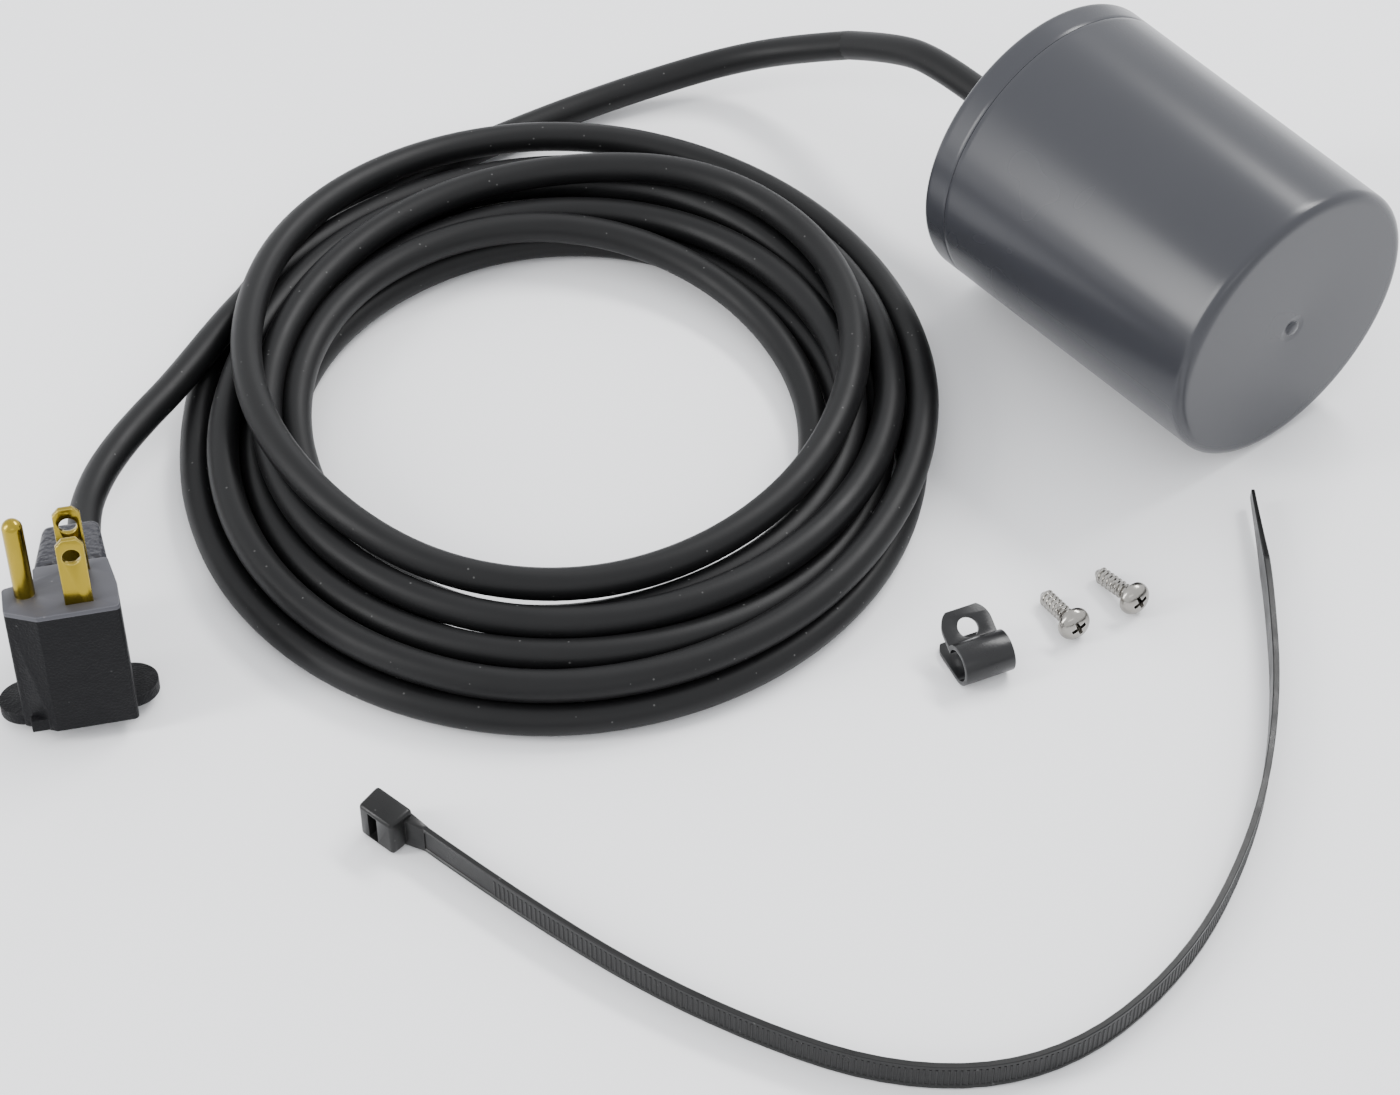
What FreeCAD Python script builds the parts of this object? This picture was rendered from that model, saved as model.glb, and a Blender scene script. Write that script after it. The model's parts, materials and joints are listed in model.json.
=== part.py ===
"""Tethered float switch with a piggyback plug and its mounting hardware.

The float lies on its side with its cord wound in a loose coil beside it. The plug stands on its
receptacle face, and the clamp, the two screws and the cable tie lie in front of the float.
+Z is up. The origin is on the surface, under the middle of the float and the loose hardware.
"""
import FreeCAD, Part
import math
import os
import re
import Sketcher
from FreeCAD import Placement, Rotation, Vector

DIMENSIONS = {
    # float, measured along its axis from the outer face of its cap
    "float_length": 91.0, "cap_radius": 39.4, "closed_radius": 37.7, "shell_wall": 2.6,
    "end_wall": 3.0, "rim_radius": 2.8, "cap_thick": 7.8, "cap_web": 3.2, "cap_edge": 1.8,
    "spigot_depth": 9.0, "spigot_wall": 2.4, "slip_gap": 0.1,
    # cord and its gland in the cap: the gland's walls are measured from the cord
    "cord_dia": 7.9, "gland_length": 18.0, "root_wall": 5.05, "tip_wall": 1.75, "neck_wall": 3.05,
    "flange_wall": 5.55, "flange_thick": 2.0, "stub_depth": 12.0, "seal_depth": 16.6,
    "lead_dia": 2.6, "lead_pitch": 4.0, "lead_rise": 3.4, "lead_stack": 3.0, "lead_start": 21.0,
    # ball track inside the float
    "ball_radius": 7.94, "ball_gap": 0.3, "ball_clearance": 0.36, "track_wall": 1.5,
    "track_top_gap": 0.2, "track_start": 30.0, "track_end_gap": 4.0, "track_plug": 3.0,
    "lever_slot": 7.0, "lever_window": 26.0,
    # carrier plate with its rings and pads
    "plate_thick": 2.0, "plate_gap": 0.4, "pad_radius": 3.4, "ring_wall": 1.6, "ring_width": 6.0,
    # microswitch
    "case_length": 27.8, "case_height": 15.9, "case_thick": 8.8, "cover_thick": 1.5,
    "case_wall": 1.4, "case_start": 30.0, "case_lift": 4.0, "screw_pitch": 22.2,
    "screw_hole": 1.55, "screw_edge": 3.2, "screw_head": 3.0, "screw_head_thick": 1.6,
    "screw_end": 3.0, "button_radius": 1.2, "button_place": 18.5, "button_gap": 0.3,
    "snap_level": 3.6, "contact_inset": 0.5, "rivet_radius": 1.5, "rivet_height": 1.2,
    "rivet_place": 3.0, "fixed_length": 5.0, "fixed_gap": 0.2, "fixed_level": 6.4,
    "tab_start": 1.2, "tab_width": 6.35, "tab_thick": 0.8, "tab_length": 7.0, "tab_pitch": 9.5,
    "crimp_size": 8.2, "crimp_thick": 2.6, "crimp_gap": 0.6,
    # switch lever, its pin and its bracket
    "lever_length": 25.0, "lever_width": 4.4, "lever_thick": 0.6, "lever_fall": 14.0,
    "pivot_radius": 1.0, "pivot_gap": 0.05, "pivot_inset": 2.0, "hub_wall": 0.5, "hub_gap": 0.3,
    "ear_plate": 1.2, "ear_plate_width": 3.2, "ear_plate_height": 3.0,
    # plug, measured from the middle between its blades on its underside
    "plug_height": 32.0, "front_depth": 10.4, "lobe_depth": 4.6, "lobe_slope": 1.5,
    "back_depth": 9.9, "shoulder_front": 1.5, "shoulder_back": 2.5, "shoulder_side": 8.3,
    "right_side": 8.8, "left_side": 17.1, "neck_right": 7.3, "neck_left": 9.8,
    "chamfer_side": 7.3, "chamfer_front": 4.3, "plug_round": 1.2, "face_thick": 1.2,
    "blade_width": 6.35, "blade_thick": 1.52, "blade_length": 17.0, "blade_root": 9.0,
    "blade_pitch": 12.7, "blade_hole": 12.5, "hole_radius": 2.0, "tip_chamfer": 1.6,
    "pin_radius": 2.38, "pin_length": 20.2, "pin_offset": 11.9, "pin_neck": 0.4,
    "relief_length": 17.0, "relief_height": 18.0, "relief_end": 13.0, "relief_shift": 1.0,
    "cord_level": 22.5, "exit_side": 2.0,
    "ear_radius": 7.0, "ear_thick": 2.8, "ear_depth": 1.0, "ear_right": 7.4, "ear_left": 15.4,
    # outlet in the plug's underside
    "outlet_thick": 3.0, "outlet_margin": 1.6, "outlet_step": 2.0, "outlet_rim": 3.0,
    "slot_end_gap": 1.05, "slot_side_gap": 0.48, "hole_gap": 0.37, "sleeve_gap": 0.07,
    "sleeve_wall": 0.7, "sleeve_length": 15.0, "sleeve_end": 1.0,
    "contact_length": 12.0, "contact_thick": 0.5,
    # clamp
    "strap_width": 12.7, "strap_thick": 1.1, "loop_grip": 0.05, "leg_length": 15.9,
    "tab_reach": 16.8, "tab_tilt": 27.0, "tab_corner": 4.5, "tab_level": 1.8, "screw_clearance": 0.5,
    "hole_inset": 4.9,
    # mounting screws
    "head_radius": 4.1, "head_height": 3.1, "head_edge": 1.0, "shank_radius": 2.1,
    "root_radius": 1.6, "thread_pitch": 1.41, "screw_length": 12.7, "point_length": 0.9,
    "cross_width": 1.1, "cross_length": 4.6, "cross_depth": 1.9,
    # cable tie
    "tie_width": 7.6, "tie_thick": 1.5, "tie_head": 11.0, "tie_head_thick": 7.0,
    "tie_head_rise": 2.4, "tie_slot_gap": 1.0, "tie_slot_inset": 4.2, "tie_head_round": 1.2,
    # cord coil
    "coil_width": 95.5, "coil_depth": 106.0, "coil_inner_width": 67.0,
    "coil_inner_depth": 69.5, "coil_height": 28.0, "coil_round": 6.0,
}

# Sizes that follow from the piece that fits there.
GLAND_ROOT, GLAND_TIP = "(cord_dia / 2 + root_wall)", "(cord_dia / 2 + tip_wall)"
GLAND_NECK, GLAND_FLANGE = "(cord_dia / 2 + neck_wall)", "(cord_dia / 2 + flange_wall)"
TRACK_BORE = "(ball_radius + ball_clearance)"
TRACK_DROP = "(ball_radius + ball_clearance + track_wall + track_top_gap)"
TRACK_END = "(float_length - end_wall - track_end_gap)"
PLATE_START = "(cap_thick + spigot_depth + plate_gap)"
PLATE_SIDE = f"(case_thick / 2 + {TRACK_BORE})"
FREE_RADIUS = "(min(cap_radius; closed_radius) - shell_wall - plate_gap)"
PLATE_HALF = f"sqrt({FREE_RADIUS}^2 - {PLATE_SIDE}^2)"
SCREW_LEVEL = "(case_lift + case_height - screw_edge)"
PIVOT_LEVEL = "(case_lift - hub_gap - hub_wall - pivot_radius)"
PIVOT_PLACE = "(case_start + case_length - pivot_inset)"
BUTTON_LEVEL = (f"({PIVOT_LEVEL} - (case_length - pivot_inset - button_place) * tan(lever_fall)"
                " + lever_thick / 2 / cos(lever_fall) + button_gap)")
SLOT_LENGTH, SLOT_WIDTH = "(blade_width + slot_end_gap)", "(blade_thick + slot_side_gap)"
OUTLET_HOLE, SLEEVE_BORE = "(pin_radius + hole_gap)", "(pin_radius + sleeve_gap)"
LOOP_RADIUS, CLAMP_HOLE = "(cord_dia / 2 - loop_grip)", "(shank_radius + screw_clearance)"

# Where the pieces lie on the surface.
CAP_X, CAP_Y, FLOAT_YAW = 38.0, 120.5, -51.5
PLUG_X, PLUG_Y, PLUG_YAW, PLUG_LEAN = -188.4, -38.3, 12.5, 11.5
COIL_X, COIL_Y = -84.5, 55.0
CLAMP_X, CLAMP_Y, CLAMP_YAW = 12.9, -35.6, 23.8
SCREWS = {"screw_1": (38.8, -16.3, -61.8), "screw_2": (53.7, -8.2, -54.4)}

# The cord from the float's gland to the coil: the tether stretch bends as the float swings.
TETHER_REACH = 20.3  # how far the cord runs straight on from the gland before its first point
TETHER_ROUTE = [(3.5, 164.0, 35.0), (-8.5, 176.0, 26.5)]
FLOAT_ROUTE = [(-8.5, 176.0, 26.5), (-23.5, 185.5, 18.0), (-41.0, 189.5, 11.0),
               (-59.0, 186.5, 6.8), (-77.0, 179.5, 4.8), (-95.0, 169.5, 4.1),
               (-111.5, 158.5, 4.1), (-125.0, 147.0, 4.1)]
# The cord from the plug's strain relief down to the coil, where other turns lie on it.
PLUG_ROUTE = [(-196.1, 5.6, 15.9), (-195.0, 20.3, 14.4), (-191.3, 33.0, 13.4),
              (-186.0, 45.0, 12.7), (-179.9, 56.6, 12.1), (-173.9, 68.8, 11.8)]
# The cable tie stands on its edge along these points, from its head to its tip.
TIE_ROUTE = [(-113.5, -78.5), (-84.0, -104.0), (-48.0, -129.0), (-8.0, -146.5), (27.0, -143.0),
             (56.0, -117.0), (75.0, -80.0), (84.0, -43.0), (86.5, -7.0), (86.4, 12.0)]

TURN_SHARE = 0.45
SPARE = 1.0  # how far a cutting tool runs past the piece that it cuts

doc = FreeCAD.newDocument("FloatSwitch")
sheet = doc.addObject("Spreadsheet::Sheet", "Dim")
nodes = {}


def fill_sheet():
    for row, (alias, number) in enumerate(DIMENSIONS.items(), start=1):
        sheet.set(f"A{row}", alias)
        sheet.set(f"B{row}", str(number))
        sheet.setAlias(f"B{row}", alias)
    doc.recompute()


def formula(text):
    """Point each dimension named in the text at its cell."""
    return re.sub(r"[a-z]+(?:_[a-z]+)+", r"Dim.\g<0>", str(text))


def size(text):
    return float(sheet.evalExpression(str(text)))


def bind(item, **bindings):
    for name, text in bindings.items():
        item.setExpression(name, formula(text))
    return item


def point(x, y, z):
    return Vector(size(x), size(y), size(z))


def primitive(kind, name, place=(0, 0, 0), turn=None, **bindings):
    """A Part primitive whose sizes follow the sheet, placed in its assembly's own frame."""
    item = bind(doc.addObject(kind, name), **bindings)
    item.Placement = Placement(point(*place), turn or Rotation())
    return item


def cylinder(name, radius, length, place=(0, 0, 0), turn=None):
    return primitive("Part::Cylinder", name, place, turn, Radius=radius, Height=length)


def box(name, sizes, low):
    """A block from its three sizes and its lowest corner."""
    return primitive("Part::Box", name, low, None, Length=sizes[0], Width=sizes[1], Height=sizes[2])


def join(name, items):
    item = doc.addObject("Part::MultiFuse", name)
    item.Shapes = items
    return item


def cut(name, base, tools):
    item = doc.addObject("Part::Cut", name)
    item.Base = base
    item.Tool = tools[0] if len(tools) == 1 else join(name + "_tools", tools)
    return item


def outline(body, name, role, corners):
    """A closed outline of straight sides in a body's own plane, each corner tied to the sheet."""
    sketch = body.newObject("Sketcher::SketchObject", name)
    plane = next(item for item in body.Origin.OriginFeatures if item.Role == role)
    sketch.AttachmentSupport = [(plane, "")]
    sketch.MapMode = "FlatFace"
    spots = [Vector(size(x), size(y), 0) for x, y in corners]
    count = len(spots)
    for index in range(count):
        sketch.addGeometry(Part.LineSegment(spots[index], spots[(index + 1) % count]))
    sketch.addConstraint([Sketcher.Constraint("Coincident", index, 2, (index + 1) % count, 1)
                          for index in range(count)])
    for index, corner in enumerate(corners):
        for kind, axis, text, spot in (("DistanceX", -2, corner[0], spots[index].x),
                                       ("DistanceY", -1, corner[1], spots[index].y)):
            if str(text) == "0":
                sketch.addConstraint(Sketcher.Constraint("PointOnObject", index, 1, axis))
                continue
            held = sketch.addConstraint(Sketcher.Constraint(kind, -1, 1, index, 1, spot))
            sketch.setExpression(f"Constraints[{held}]", formula(text))
    return sketch


def edges_near(shape, test):
    return [f"Edge{index + 1}" for index, edge in enumerate(shape.Edges) if test(edge)]


def fillet(body, feature, radius, test):
    doc.recompute()
    item = body.newObject("PartDesign::Fillet", body.Name + "_round")
    item.Base = (feature, edges_near(feature.Shape, test))
    bind(item, Radius=radius)
    return item


def revolved(name, corners):
    """A turned piece about its own Z axis, from corners given as (radius, height)."""
    body = doc.addObject("PartDesign::Body", name)
    sketch = outline(body, name + "_outline", "XZ_Plane", corners)
    turned = body.newObject("PartDesign::Revolution", name + "_turned")
    turned.Profile = sketch
    turned.ReferenceAxis = (sketch, ["V_Axis"])
    turned.Angle = 360
    doc.recompute()
    return body


def padded(name, role, corners, length, midplane=False):
    """A straight-sided outline given a thickness."""
    body = doc.addObject("PartDesign::Body", name)
    sketch = outline(body, name + "_outline", role, corners)
    pad = body.newObject("PartDesign::Pad", name + "_pad")
    pad.Profile = sketch
    pad.SideType = "Symmetric" if midplane else "One side"
    bind(pad, Length=length)
    doc.recompute()
    return body


def circle_edge(radius, height):
    """Find the circular edge at a height with a radius."""
    def test(edge):
        curve = edge.Curve
        return (isinstance(curve, Part.Circle) and abs(curve.Radius - size(radius)) < 0.01
                and abs(curve.Center.z - size(height)) < 0.01)
    return test


def upright_edge(edge):
    """Find a straight edge along Z."""
    ends = edge.Vertexes
    if len(ends) != 2 or not isinstance(edge.Curve, Part.Line):
        return False
    return math.hypot(ends[0].X - ends[1].X, ends[0].Y - ends[1].Y) < 0.001


def keep(label, item, frame=None):
    """Register a sub-part, and move it with its assembly's frame."""
    item.Label = label
    nodes[label] = (item, frame or Placement())


def keep_shape(label, shape, frame=None):
    item = doc.addObject("Part::Feature", label)
    item.Shape = shape
    keep(label, item, frame)


# Turns that lay a cylinder along X or along Y.
ALONG_X = Rotation(Vector(0, 1, 0), 90)
ALONG_Y = Rotation(Vector(1, 0, 0), -90)


# ---- float -------------------------------------------------------------------------------------

def float_frame():
    """Local Z runs along the float's axis from its cap, and local Y is up."""
    fall = math.atan((size("cap_radius") - size("closed_radius")) / size("float_length"))
    yaw = math.radians(FLOAT_YAW)
    along = Vector(math.cos(yaw) * math.cos(fall), math.sin(yaw) * math.cos(fall), -math.sin(fall))
    across = Vector(0, 0, 1).cross(along).normalize()
    rise = size("cap_radius") * math.cos(fall)
    return Placement(Vector(CAP_X, CAP_Y, rise), Rotation(across, along.cross(across), along, "ZXY"))


def outer_radius(height):
    """The float's drafted outside at a height from the cap's face."""
    return f"cap_radius - (cap_radius - closed_radius) * ({height}) / float_length"


def make_shell(frame):
    seam = outer_radius("cap_thick")
    body = revolved("shell", [
        ("0", "float_length"), ("closed_radius", "float_length"), (seam, "cap_thick"),
        (f"{seam} - shell_wall", "cap_thick"),
        ("closed_radius - shell_wall", "float_length - end_wall"), ("0", "float_length - end_wall")])
    rim = circle_edge("closed_radius", "float_length")
    fillet(body, body.Tip, "rim_radius", rim)
    keep("float_shell", body, frame)


def make_cap(frame):
    seam = outer_radius("cap_thick")
    tail = outer_radius("cap_thick + spigot_depth")
    body = revolved("cap", [
        (GLAND_NECK, "0"), ("cap_radius", "0"), (seam, "cap_thick"),
        (f"{seam} - shell_wall - slip_gap", "cap_thick"),
        (f"{tail} - shell_wall - slip_gap", "cap_thick + spigot_depth"),
        (f"{tail} - shell_wall - slip_gap - spigot_wall", "cap_thick + spigot_depth"),
        (f"{tail} - shell_wall - slip_gap - spigot_wall", "cap_web"), (GLAND_NECK, "cap_web")])
    fillet(body, body.Tip, "cap_edge", circle_edge("cap_radius", "0"))
    keep("float_cap", body, frame)


def make_gland(frame):
    """The moulded strain relief: a tapered sleeve outside, a neck through the cap and a flange."""
    body = revolved("gland", [
        ("cord_dia / 2", "0 - gland_length"), (GLAND_TIP, "0 - gland_length"),
        (GLAND_ROOT, "0"), (GLAND_NECK, "0"), (GLAND_NECK, "cap_web"),
        (GLAND_FLANGE, "cap_web"), (GLAND_FLANGE, "cap_web + flange_thick"),
        ("cord_dia / 2", "cap_web + flange_thick")])
    keep("cord_gland", body, frame)


def make_cord_stub(frame):
    """The cord's end inside the gland and the seal."""
    keep("cord_stub", cylinder("stub", "cord_dia / 2", "gland_length + stub_depth",
                               ("0", "0", "0 - gland_length")), frame)


def make_seal(frame):
    """The potting that closes the cap behind the gland, poured round the cord and its leads."""
    tail = outer_radius("cap_thick + spigot_depth")
    disc = cylinder("seal_disc", f"{tail} - shell_wall - slip_gap - spigot_wall",
                    "seal_depth - cap_web", ("0", "0", "cap_web"))
    tools = [cylinder("seal_flange", GLAND_FLANGE, "flange_thick", ("0", "0", "cap_web")),
             cylinder("seal_cord", "cord_dia / 2", "stub_depth", ("0", "0", "0"))]
    for side in ("-", "+"):
        tools.append(cylinder("seal_lead", "lead_dia / 2", "seal_depth",
                              ("0", f"0 {side} lead_pitch / 2", "stub_depth")))
    keep("potting_seal", cut("seal", disc, tools), frame)


def make_track(frame):
    """The tube that the ball rolls in, open above at its cap end where the lever dips in."""
    level = f"0 - {TRACK_DROP}"
    length = f"{TRACK_END} - track_start"
    tube = cut("track_tube",
               cylinder("track_outside", f"{TRACK_BORE} + track_wall", length,
                        ("0", level, "track_start")),
               [cylinder("track_inside", TRACK_BORE, length, ("0", level, "track_start")),
                box("track_window", ("lever_slot", f"{TRACK_BORE} + track_wall", "lever_window"),
                    ("0 - lever_slot / 2", level, "track_start"))])
    keep("ball_track", tube, frame)
    stop_place = f"{TRACK_END} - track_plug"
    keep("track_end_plug",
         cylinder("track_stop", TRACK_BORE, "track_plug", ("0", level, stop_place)), frame)
    ball = primitive("Part::Sphere", "ball", Radius="ball_radius",
                     place=("0", level, f"{stop_place} - ball_gap - ball_radius"))
    keep("steel_ball", ball, frame)


def make_carrier(frame):
    """The plate that holds the track in two rings and the switch on two pads."""
    low = f"0 - {PLATE_SIDE}"
    plate = box("carrier_plate", ("plate_thick", f"2 * {PLATE_HALF}",
                                  f"float_length - end_wall - plate_gap - {PLATE_START}"),
                (low, f"0 - {PLATE_HALF}", PLATE_START))
    items = [plate]
    for place in (f"{PIVOT_PLACE} + ear_plate_width / 2 + plate_gap",
                  f"{TRACK_END} - ring_width * 3 / 2"):
        items.append(cylinder("carrier_ring", f"{TRACK_BORE} + track_wall + ring_wall",
                              "ring_width", ("0", f"0 - {TRACK_DROP}", place)))
    tools = [cylinder("carrier_bore", f"{TRACK_BORE} + track_wall", TRACK_END,
                      ("0", f"0 - {TRACK_DROP}", "0"))]
    for place in screw_places():
        items.append(cylinder("carrier_pad", "pad_radius", TRACK_BORE, (low, SCREW_LEVEL, place),
                              ALONG_X))
        tools.append(cylinder("carrier_hole", "screw_hole", "case_thick * 2",
                              (low, SCREW_LEVEL, place), ALONG_X))
    keep("switch_carrier", cut("carrier", join("carrier_solid", items), tools), frame)


def screw_places():
    middle = "case_start + case_length / 2"
    return [f"{middle} - screw_pitch / 2", f"{middle} + screw_pitch / 2"]


def screw_holes(name):
    return [cylinder(name, "screw_hole", "case_thick * 2",
                     (f"0 - case_thick / 2 - {SPARE}", SCREW_LEVEL, place), ALONG_X)
            for place in screw_places()]


def make_switch(frame):
    """The microswitch: an open case, its cover, its blades, button and lever."""
    back = "0 - case_thick / 2"
    case = box("case_block", ("case_thick", "case_height", "case_length"),
               (back, "case_lift", "case_start"))
    hollow = box("case_hollow", ("case_thick", "case_height - 2 * case_wall - screw_edge",
                                 "case_length - 2 * case_wall"),
                 (f"{back} + case_wall", "case_lift + case_wall", "case_start + case_wall"))
    button_place = "case_start + button_place"
    well = cylinder("button_well", "button_radius + pivot_gap", "case_wall * 2",
                    ("0", "case_lift - case_wall / 2", button_place), ALONG_Y)
    keep("switch_case", cut("case", case, [hollow, well] + screw_holes("case_hole")), frame)
    cover = box("cover_plate", ("cover_thick", "case_height", "case_length"),
                ("case_thick / 2", "case_lift", "case_start"))
    keep("switch_cover", cut("cover", cover, screw_holes("cover_hole")), frame)
    button = cylinder("button", "button_radius", f"case_lift + case_wall - {BUTTON_LEVEL}",
                      ("0", BUTTON_LEVEL, button_place), ALONG_Y)
    keep("switch_plunger", button, frame)
    make_contacts(frame)
    make_tabs(frame)
    make_lever(frame)


def make_contacts(frame):
    """The snap blade over the button, and the two fixed contacts."""
    level = "case_lift + snap_level"
    first = "case_start + case_wall"
    blade = box("snap_strip", ("lever_width", "contact_thick",
                               "case_length - 2 * case_wall - 2 * contact_inset"),
                ("0 - lever_width / 2", level, f"{first} + contact_inset"))
    rivet = cylinder("snap_rivet", "rivet_radius", "rivet_height",
                     ("0", f"{level} + contact_thick / 2 - rivet_height / 2",
                      f"{first} + rivet_place"), ALONG_Y)
    keep("snap_blade", join("snap", [blade, rivet]), frame)
    fixed = [box(f"fixed_{name}", ("lever_width", "contact_thick", "fixed_length"),
                 ("0 - lever_width / 2", place, first))
             for name, place in (("low", "case_lift + case_wall + fixed_gap"),
                                 ("high", "case_lift + fixed_level"))]
    keep("fixed_contacts", join("fixed", fixed), frame)


def make_tabs(frame):
    """The three tabs on the case, and a crimped sleeve on the first two."""
    top = "case_lift + case_height"
    tabs = [box("tab_piece", ("tab_thick", "tab_length", "tab_width"),
                ("0 - tab_thick / 2", top, place)) for place in tab_places()]
    keep("switch_terminals", join("tabs", tabs), frame)
    sleeves = []
    for place in tab_places()[:2]:
        block = box("crimp_block", ("crimp_thick", "tab_length - crimp_gap", "crimp_size"),
                    ("0 - crimp_thick / 2", f"{top} + crimp_gap",
                     f"{place} - (crimp_size - tab_width) / 2"))
        slot = box("crimp_slot", ("tab_thick", "tab_length", "tab_width"),
                   ("0 - tab_thick / 2", top, place))
        sleeves.append(cut("crimp_sleeve", block, [slot]))
    keep("quick_connects", join("crimps", sleeves), frame)


def tab_places():
    first = "case_start + tab_start"
    return [first, f"{first} + tab_pitch", f"{first} + 2 * tab_pitch"]


def make_lever(frame):
    """The lever turns about its pin, and its own frame has the pin at its origin."""
    blade = box("lever_blade", ("lever_width", "lever_thick", "lever_length"),
                ("0 - lever_width / 2", "0 - lever_thick / 2", "pivot_radius + pivot_gap"))
    hub = cylinder("lever_hub", "pivot_radius + hub_wall", "lever_width",
                   ("0 - lever_width / 2", "0", "0"), ALONG_X)
    hole = cylinder("lever_hole", "pivot_radius + pivot_gap", "lever_width * 2",
                    ("0 - lever_width", "0", "0"), ALONG_X)
    fall = Rotation(Vector(1, 0, 0), 180 - size("lever_fall"))
    lever_frame = frame.multiply(Placement(point("0", PIVOT_LEVEL, PIVOT_PLACE), fall))
    keep("switch_lever", cut("lever", join("lever_solid", [blade, hub]), [hole]), lever_frame)
    inner = "lever_width / 2 + hub_gap"
    pin = cylinder("pin_rod", "pivot_radius", f"2 * ({inner} + ear_plate)",
                   (f"0 - ({inner} + ear_plate)", PIVOT_LEVEL, PIVOT_PLACE), ALONG_X)
    items = [pin]
    for name, side in (("left", f"0 - ({inner} + ear_plate)"), ("right", inner)):
        items.append(box(f"pin_ear_{name}", ("ear_plate", "ear_plate_height", "ear_plate_width"),
                         (side, "case_lift - ear_plate_height",
                          f"{PIVOT_PLACE} - ear_plate_width / 2")))
    keep("lever_bracket", join("bracket", items), frame)


def make_switch_screws(frame):
    items = []
    for place in screw_places():
        items.append(cylinder("switch_screw_head", "screw_head", "screw_head_thick",
                              ("case_thick / 2 + cover_thick", SCREW_LEVEL, place), ALONG_X))
        items.append(cylinder("switch_screw_shank", "screw_hole",
                              "case_thick + cover_thick + screw_end",
                              ("0 - case_thick / 2 - screw_end", SCREW_LEVEL, place), ALONG_X))
    keep("switch_screws", join("switch_screw_set", items), frame)


def make_leads(frame):
    """The cord's two cores: the upper one rises first and passes over the lower one."""
    shapes = []
    level = size("case_lift + case_height + tab_length")
    for order, side, place in zip((1, 0), (-1, 1), tab_places()):
        begin = size(f"lead_start + {order} * (lead_dia + tab_length / 4)")
        top = level + size(f"lead_rise + {1 - order} * lead_stack")
        across = side * size("lead_pitch / 2")
        target = size(f"{place} + tab_width / 2")
        route = [Vector(0, across, size("stub_depth")), Vector(0, across, begin),
                 Vector(0, top, begin), Vector(0, top, target), Vector(0, level, target)]
        shapes.append(tube(route, size("lead_dia / 2"), quiet=True))
    keep_shape("cord_leads", Part.makeCompound(shapes), frame)


# ---- cords -------------------------------------------------------------------------------------

def arc_wire(route):
    """Straight runs joined by tangent arcs, as large as the shorter run of each corner allows."""
    edges, radii = [], []
    start = route[0]
    for index in range(1, len(route) - 1):
        before = (route[index - 1] - route[index])
        after = (route[index + 1] - route[index])
        reach = TURN_SHARE * min(before.Length, after.Length)
        before.normalize()
        after.normalize()
        half_turn = (math.pi - before.getAngle(after)) / 2
        radii.append(reach / math.tan(half_turn))
        arc_start = route[index] + before * reach
        arc_end = route[index] + after * reach
        middle_way = (before + after).normalize()
        gap = radii[-1] / math.cos(half_turn) - radii[-1]
        edges.append(Part.LineSegment(start, arc_start).toShape())
        edges.append(Part.Arc(arc_start, route[index] + middle_way * gap, arc_end).toShape())
        start = arc_end
    edges.append(Part.LineSegment(start, route[-1]).toShape())
    return Part.Wire(edges), radii


def tube(route, radius, quiet=False):
    """A round tube along a route, with its volume compared with its section times its length."""
    path, radii = arc_wire(route)
    ring = Part.Wire(Part.makeCircle(radius, route[0], route[1] - route[0]))
    shape = Part.Solid(path.makePipeShell([ring], True, True))
    if shape.Volume < 0:
        shape.reverse()
    wanted = math.pi * radius ** 2 * path.Length
    if abs(shape.Volume / wanted - 1) > 0.01:
        raise ValueError(f"tube volume {shape.Volume:.1f} is not {wanted:.1f}")
    if not quiet:
        print(f"cord run {path.Length:.1f} mm, radii", [round(value, 1) for value in radii])
    return shape


def make_cords(float_place, plug_place):
    radius = size("cord_dia / 2")
    tip, first = (float_place.multVec(Vector(0, 0, -size("gland_length") - reach))
                  for reach in (0, TETHER_REACH))
    out = plug_place.multVec(point("exit_side", "back_depth + relief_length", "cord_level"))
    keep_shape("cord_tether", tube([tip, first] + [Vector(*spot) for spot in TETHER_ROUTE], radius))
    keep_shape("cord_float_run", tube([Vector(*spot) for spot in FLOAT_ROUTE], radius))
    keep_shape("cord_plug_run", tube([out] + [Vector(*spot) for spot in PLUG_ROUTE], radius))
    print("gland tip", tip, "plug exit", out)


def oval(name, half_width, half_depth, height):
    curve = bind(doc.addObject("Part::Ellipse", name + "_curve"),
                 MajorRadius=half_depth, MinorRadius=half_width)
    curve.Placement = Placement(Vector(), Rotation(Vector(0, 0, 1), 90))
    block = doc.addObject("Part::Extrusion", name)
    block.Base = curve
    block.DirMode = "Custom"
    block.Dir = Vector(0, 0, 1)
    block.Solid = True
    return bind(block, LengthFwd=height)


def make_coil():
    """The outer shape of the wound cord: an oval ring, rounded above and below."""
    ring = cut("coil_ring", oval("coil_outside", "coil_width", "coil_depth", "coil_height"),
               [oval("coil_inside", "coil_inner_width", "coil_inner_depth", "coil_height")])
    doc.recompute()
    rounded = doc.addObject("Part::Fillet", "coil_rounded")
    rounded.Base = ring
    radius = size("coil_round")
    rounded.Edges = [(index + 1, radius, radius) for index, edge in enumerate(ring.Shape.Edges)
                     if edge.isClosed()]
    keep("cord_coil", rounded, Placement(Vector(COIL_X, COIL_Y, 0), Rotation()))


# ---- plug --------------------------------------------------------------------------------------

def plug_frame():
    """Local Z is up through the blades, and the cord leaves along local Y."""
    turn = Rotation(Vector(0, 0, 1), PLUG_YAW) * Rotation(Vector(1, 0, 0), -PLUG_LEAN)
    rise = size("back_depth") * math.sin(math.radians(PLUG_LEAN))
    return Placement(Vector(PLUG_X, PLUG_Y, rise), turn)


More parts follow.
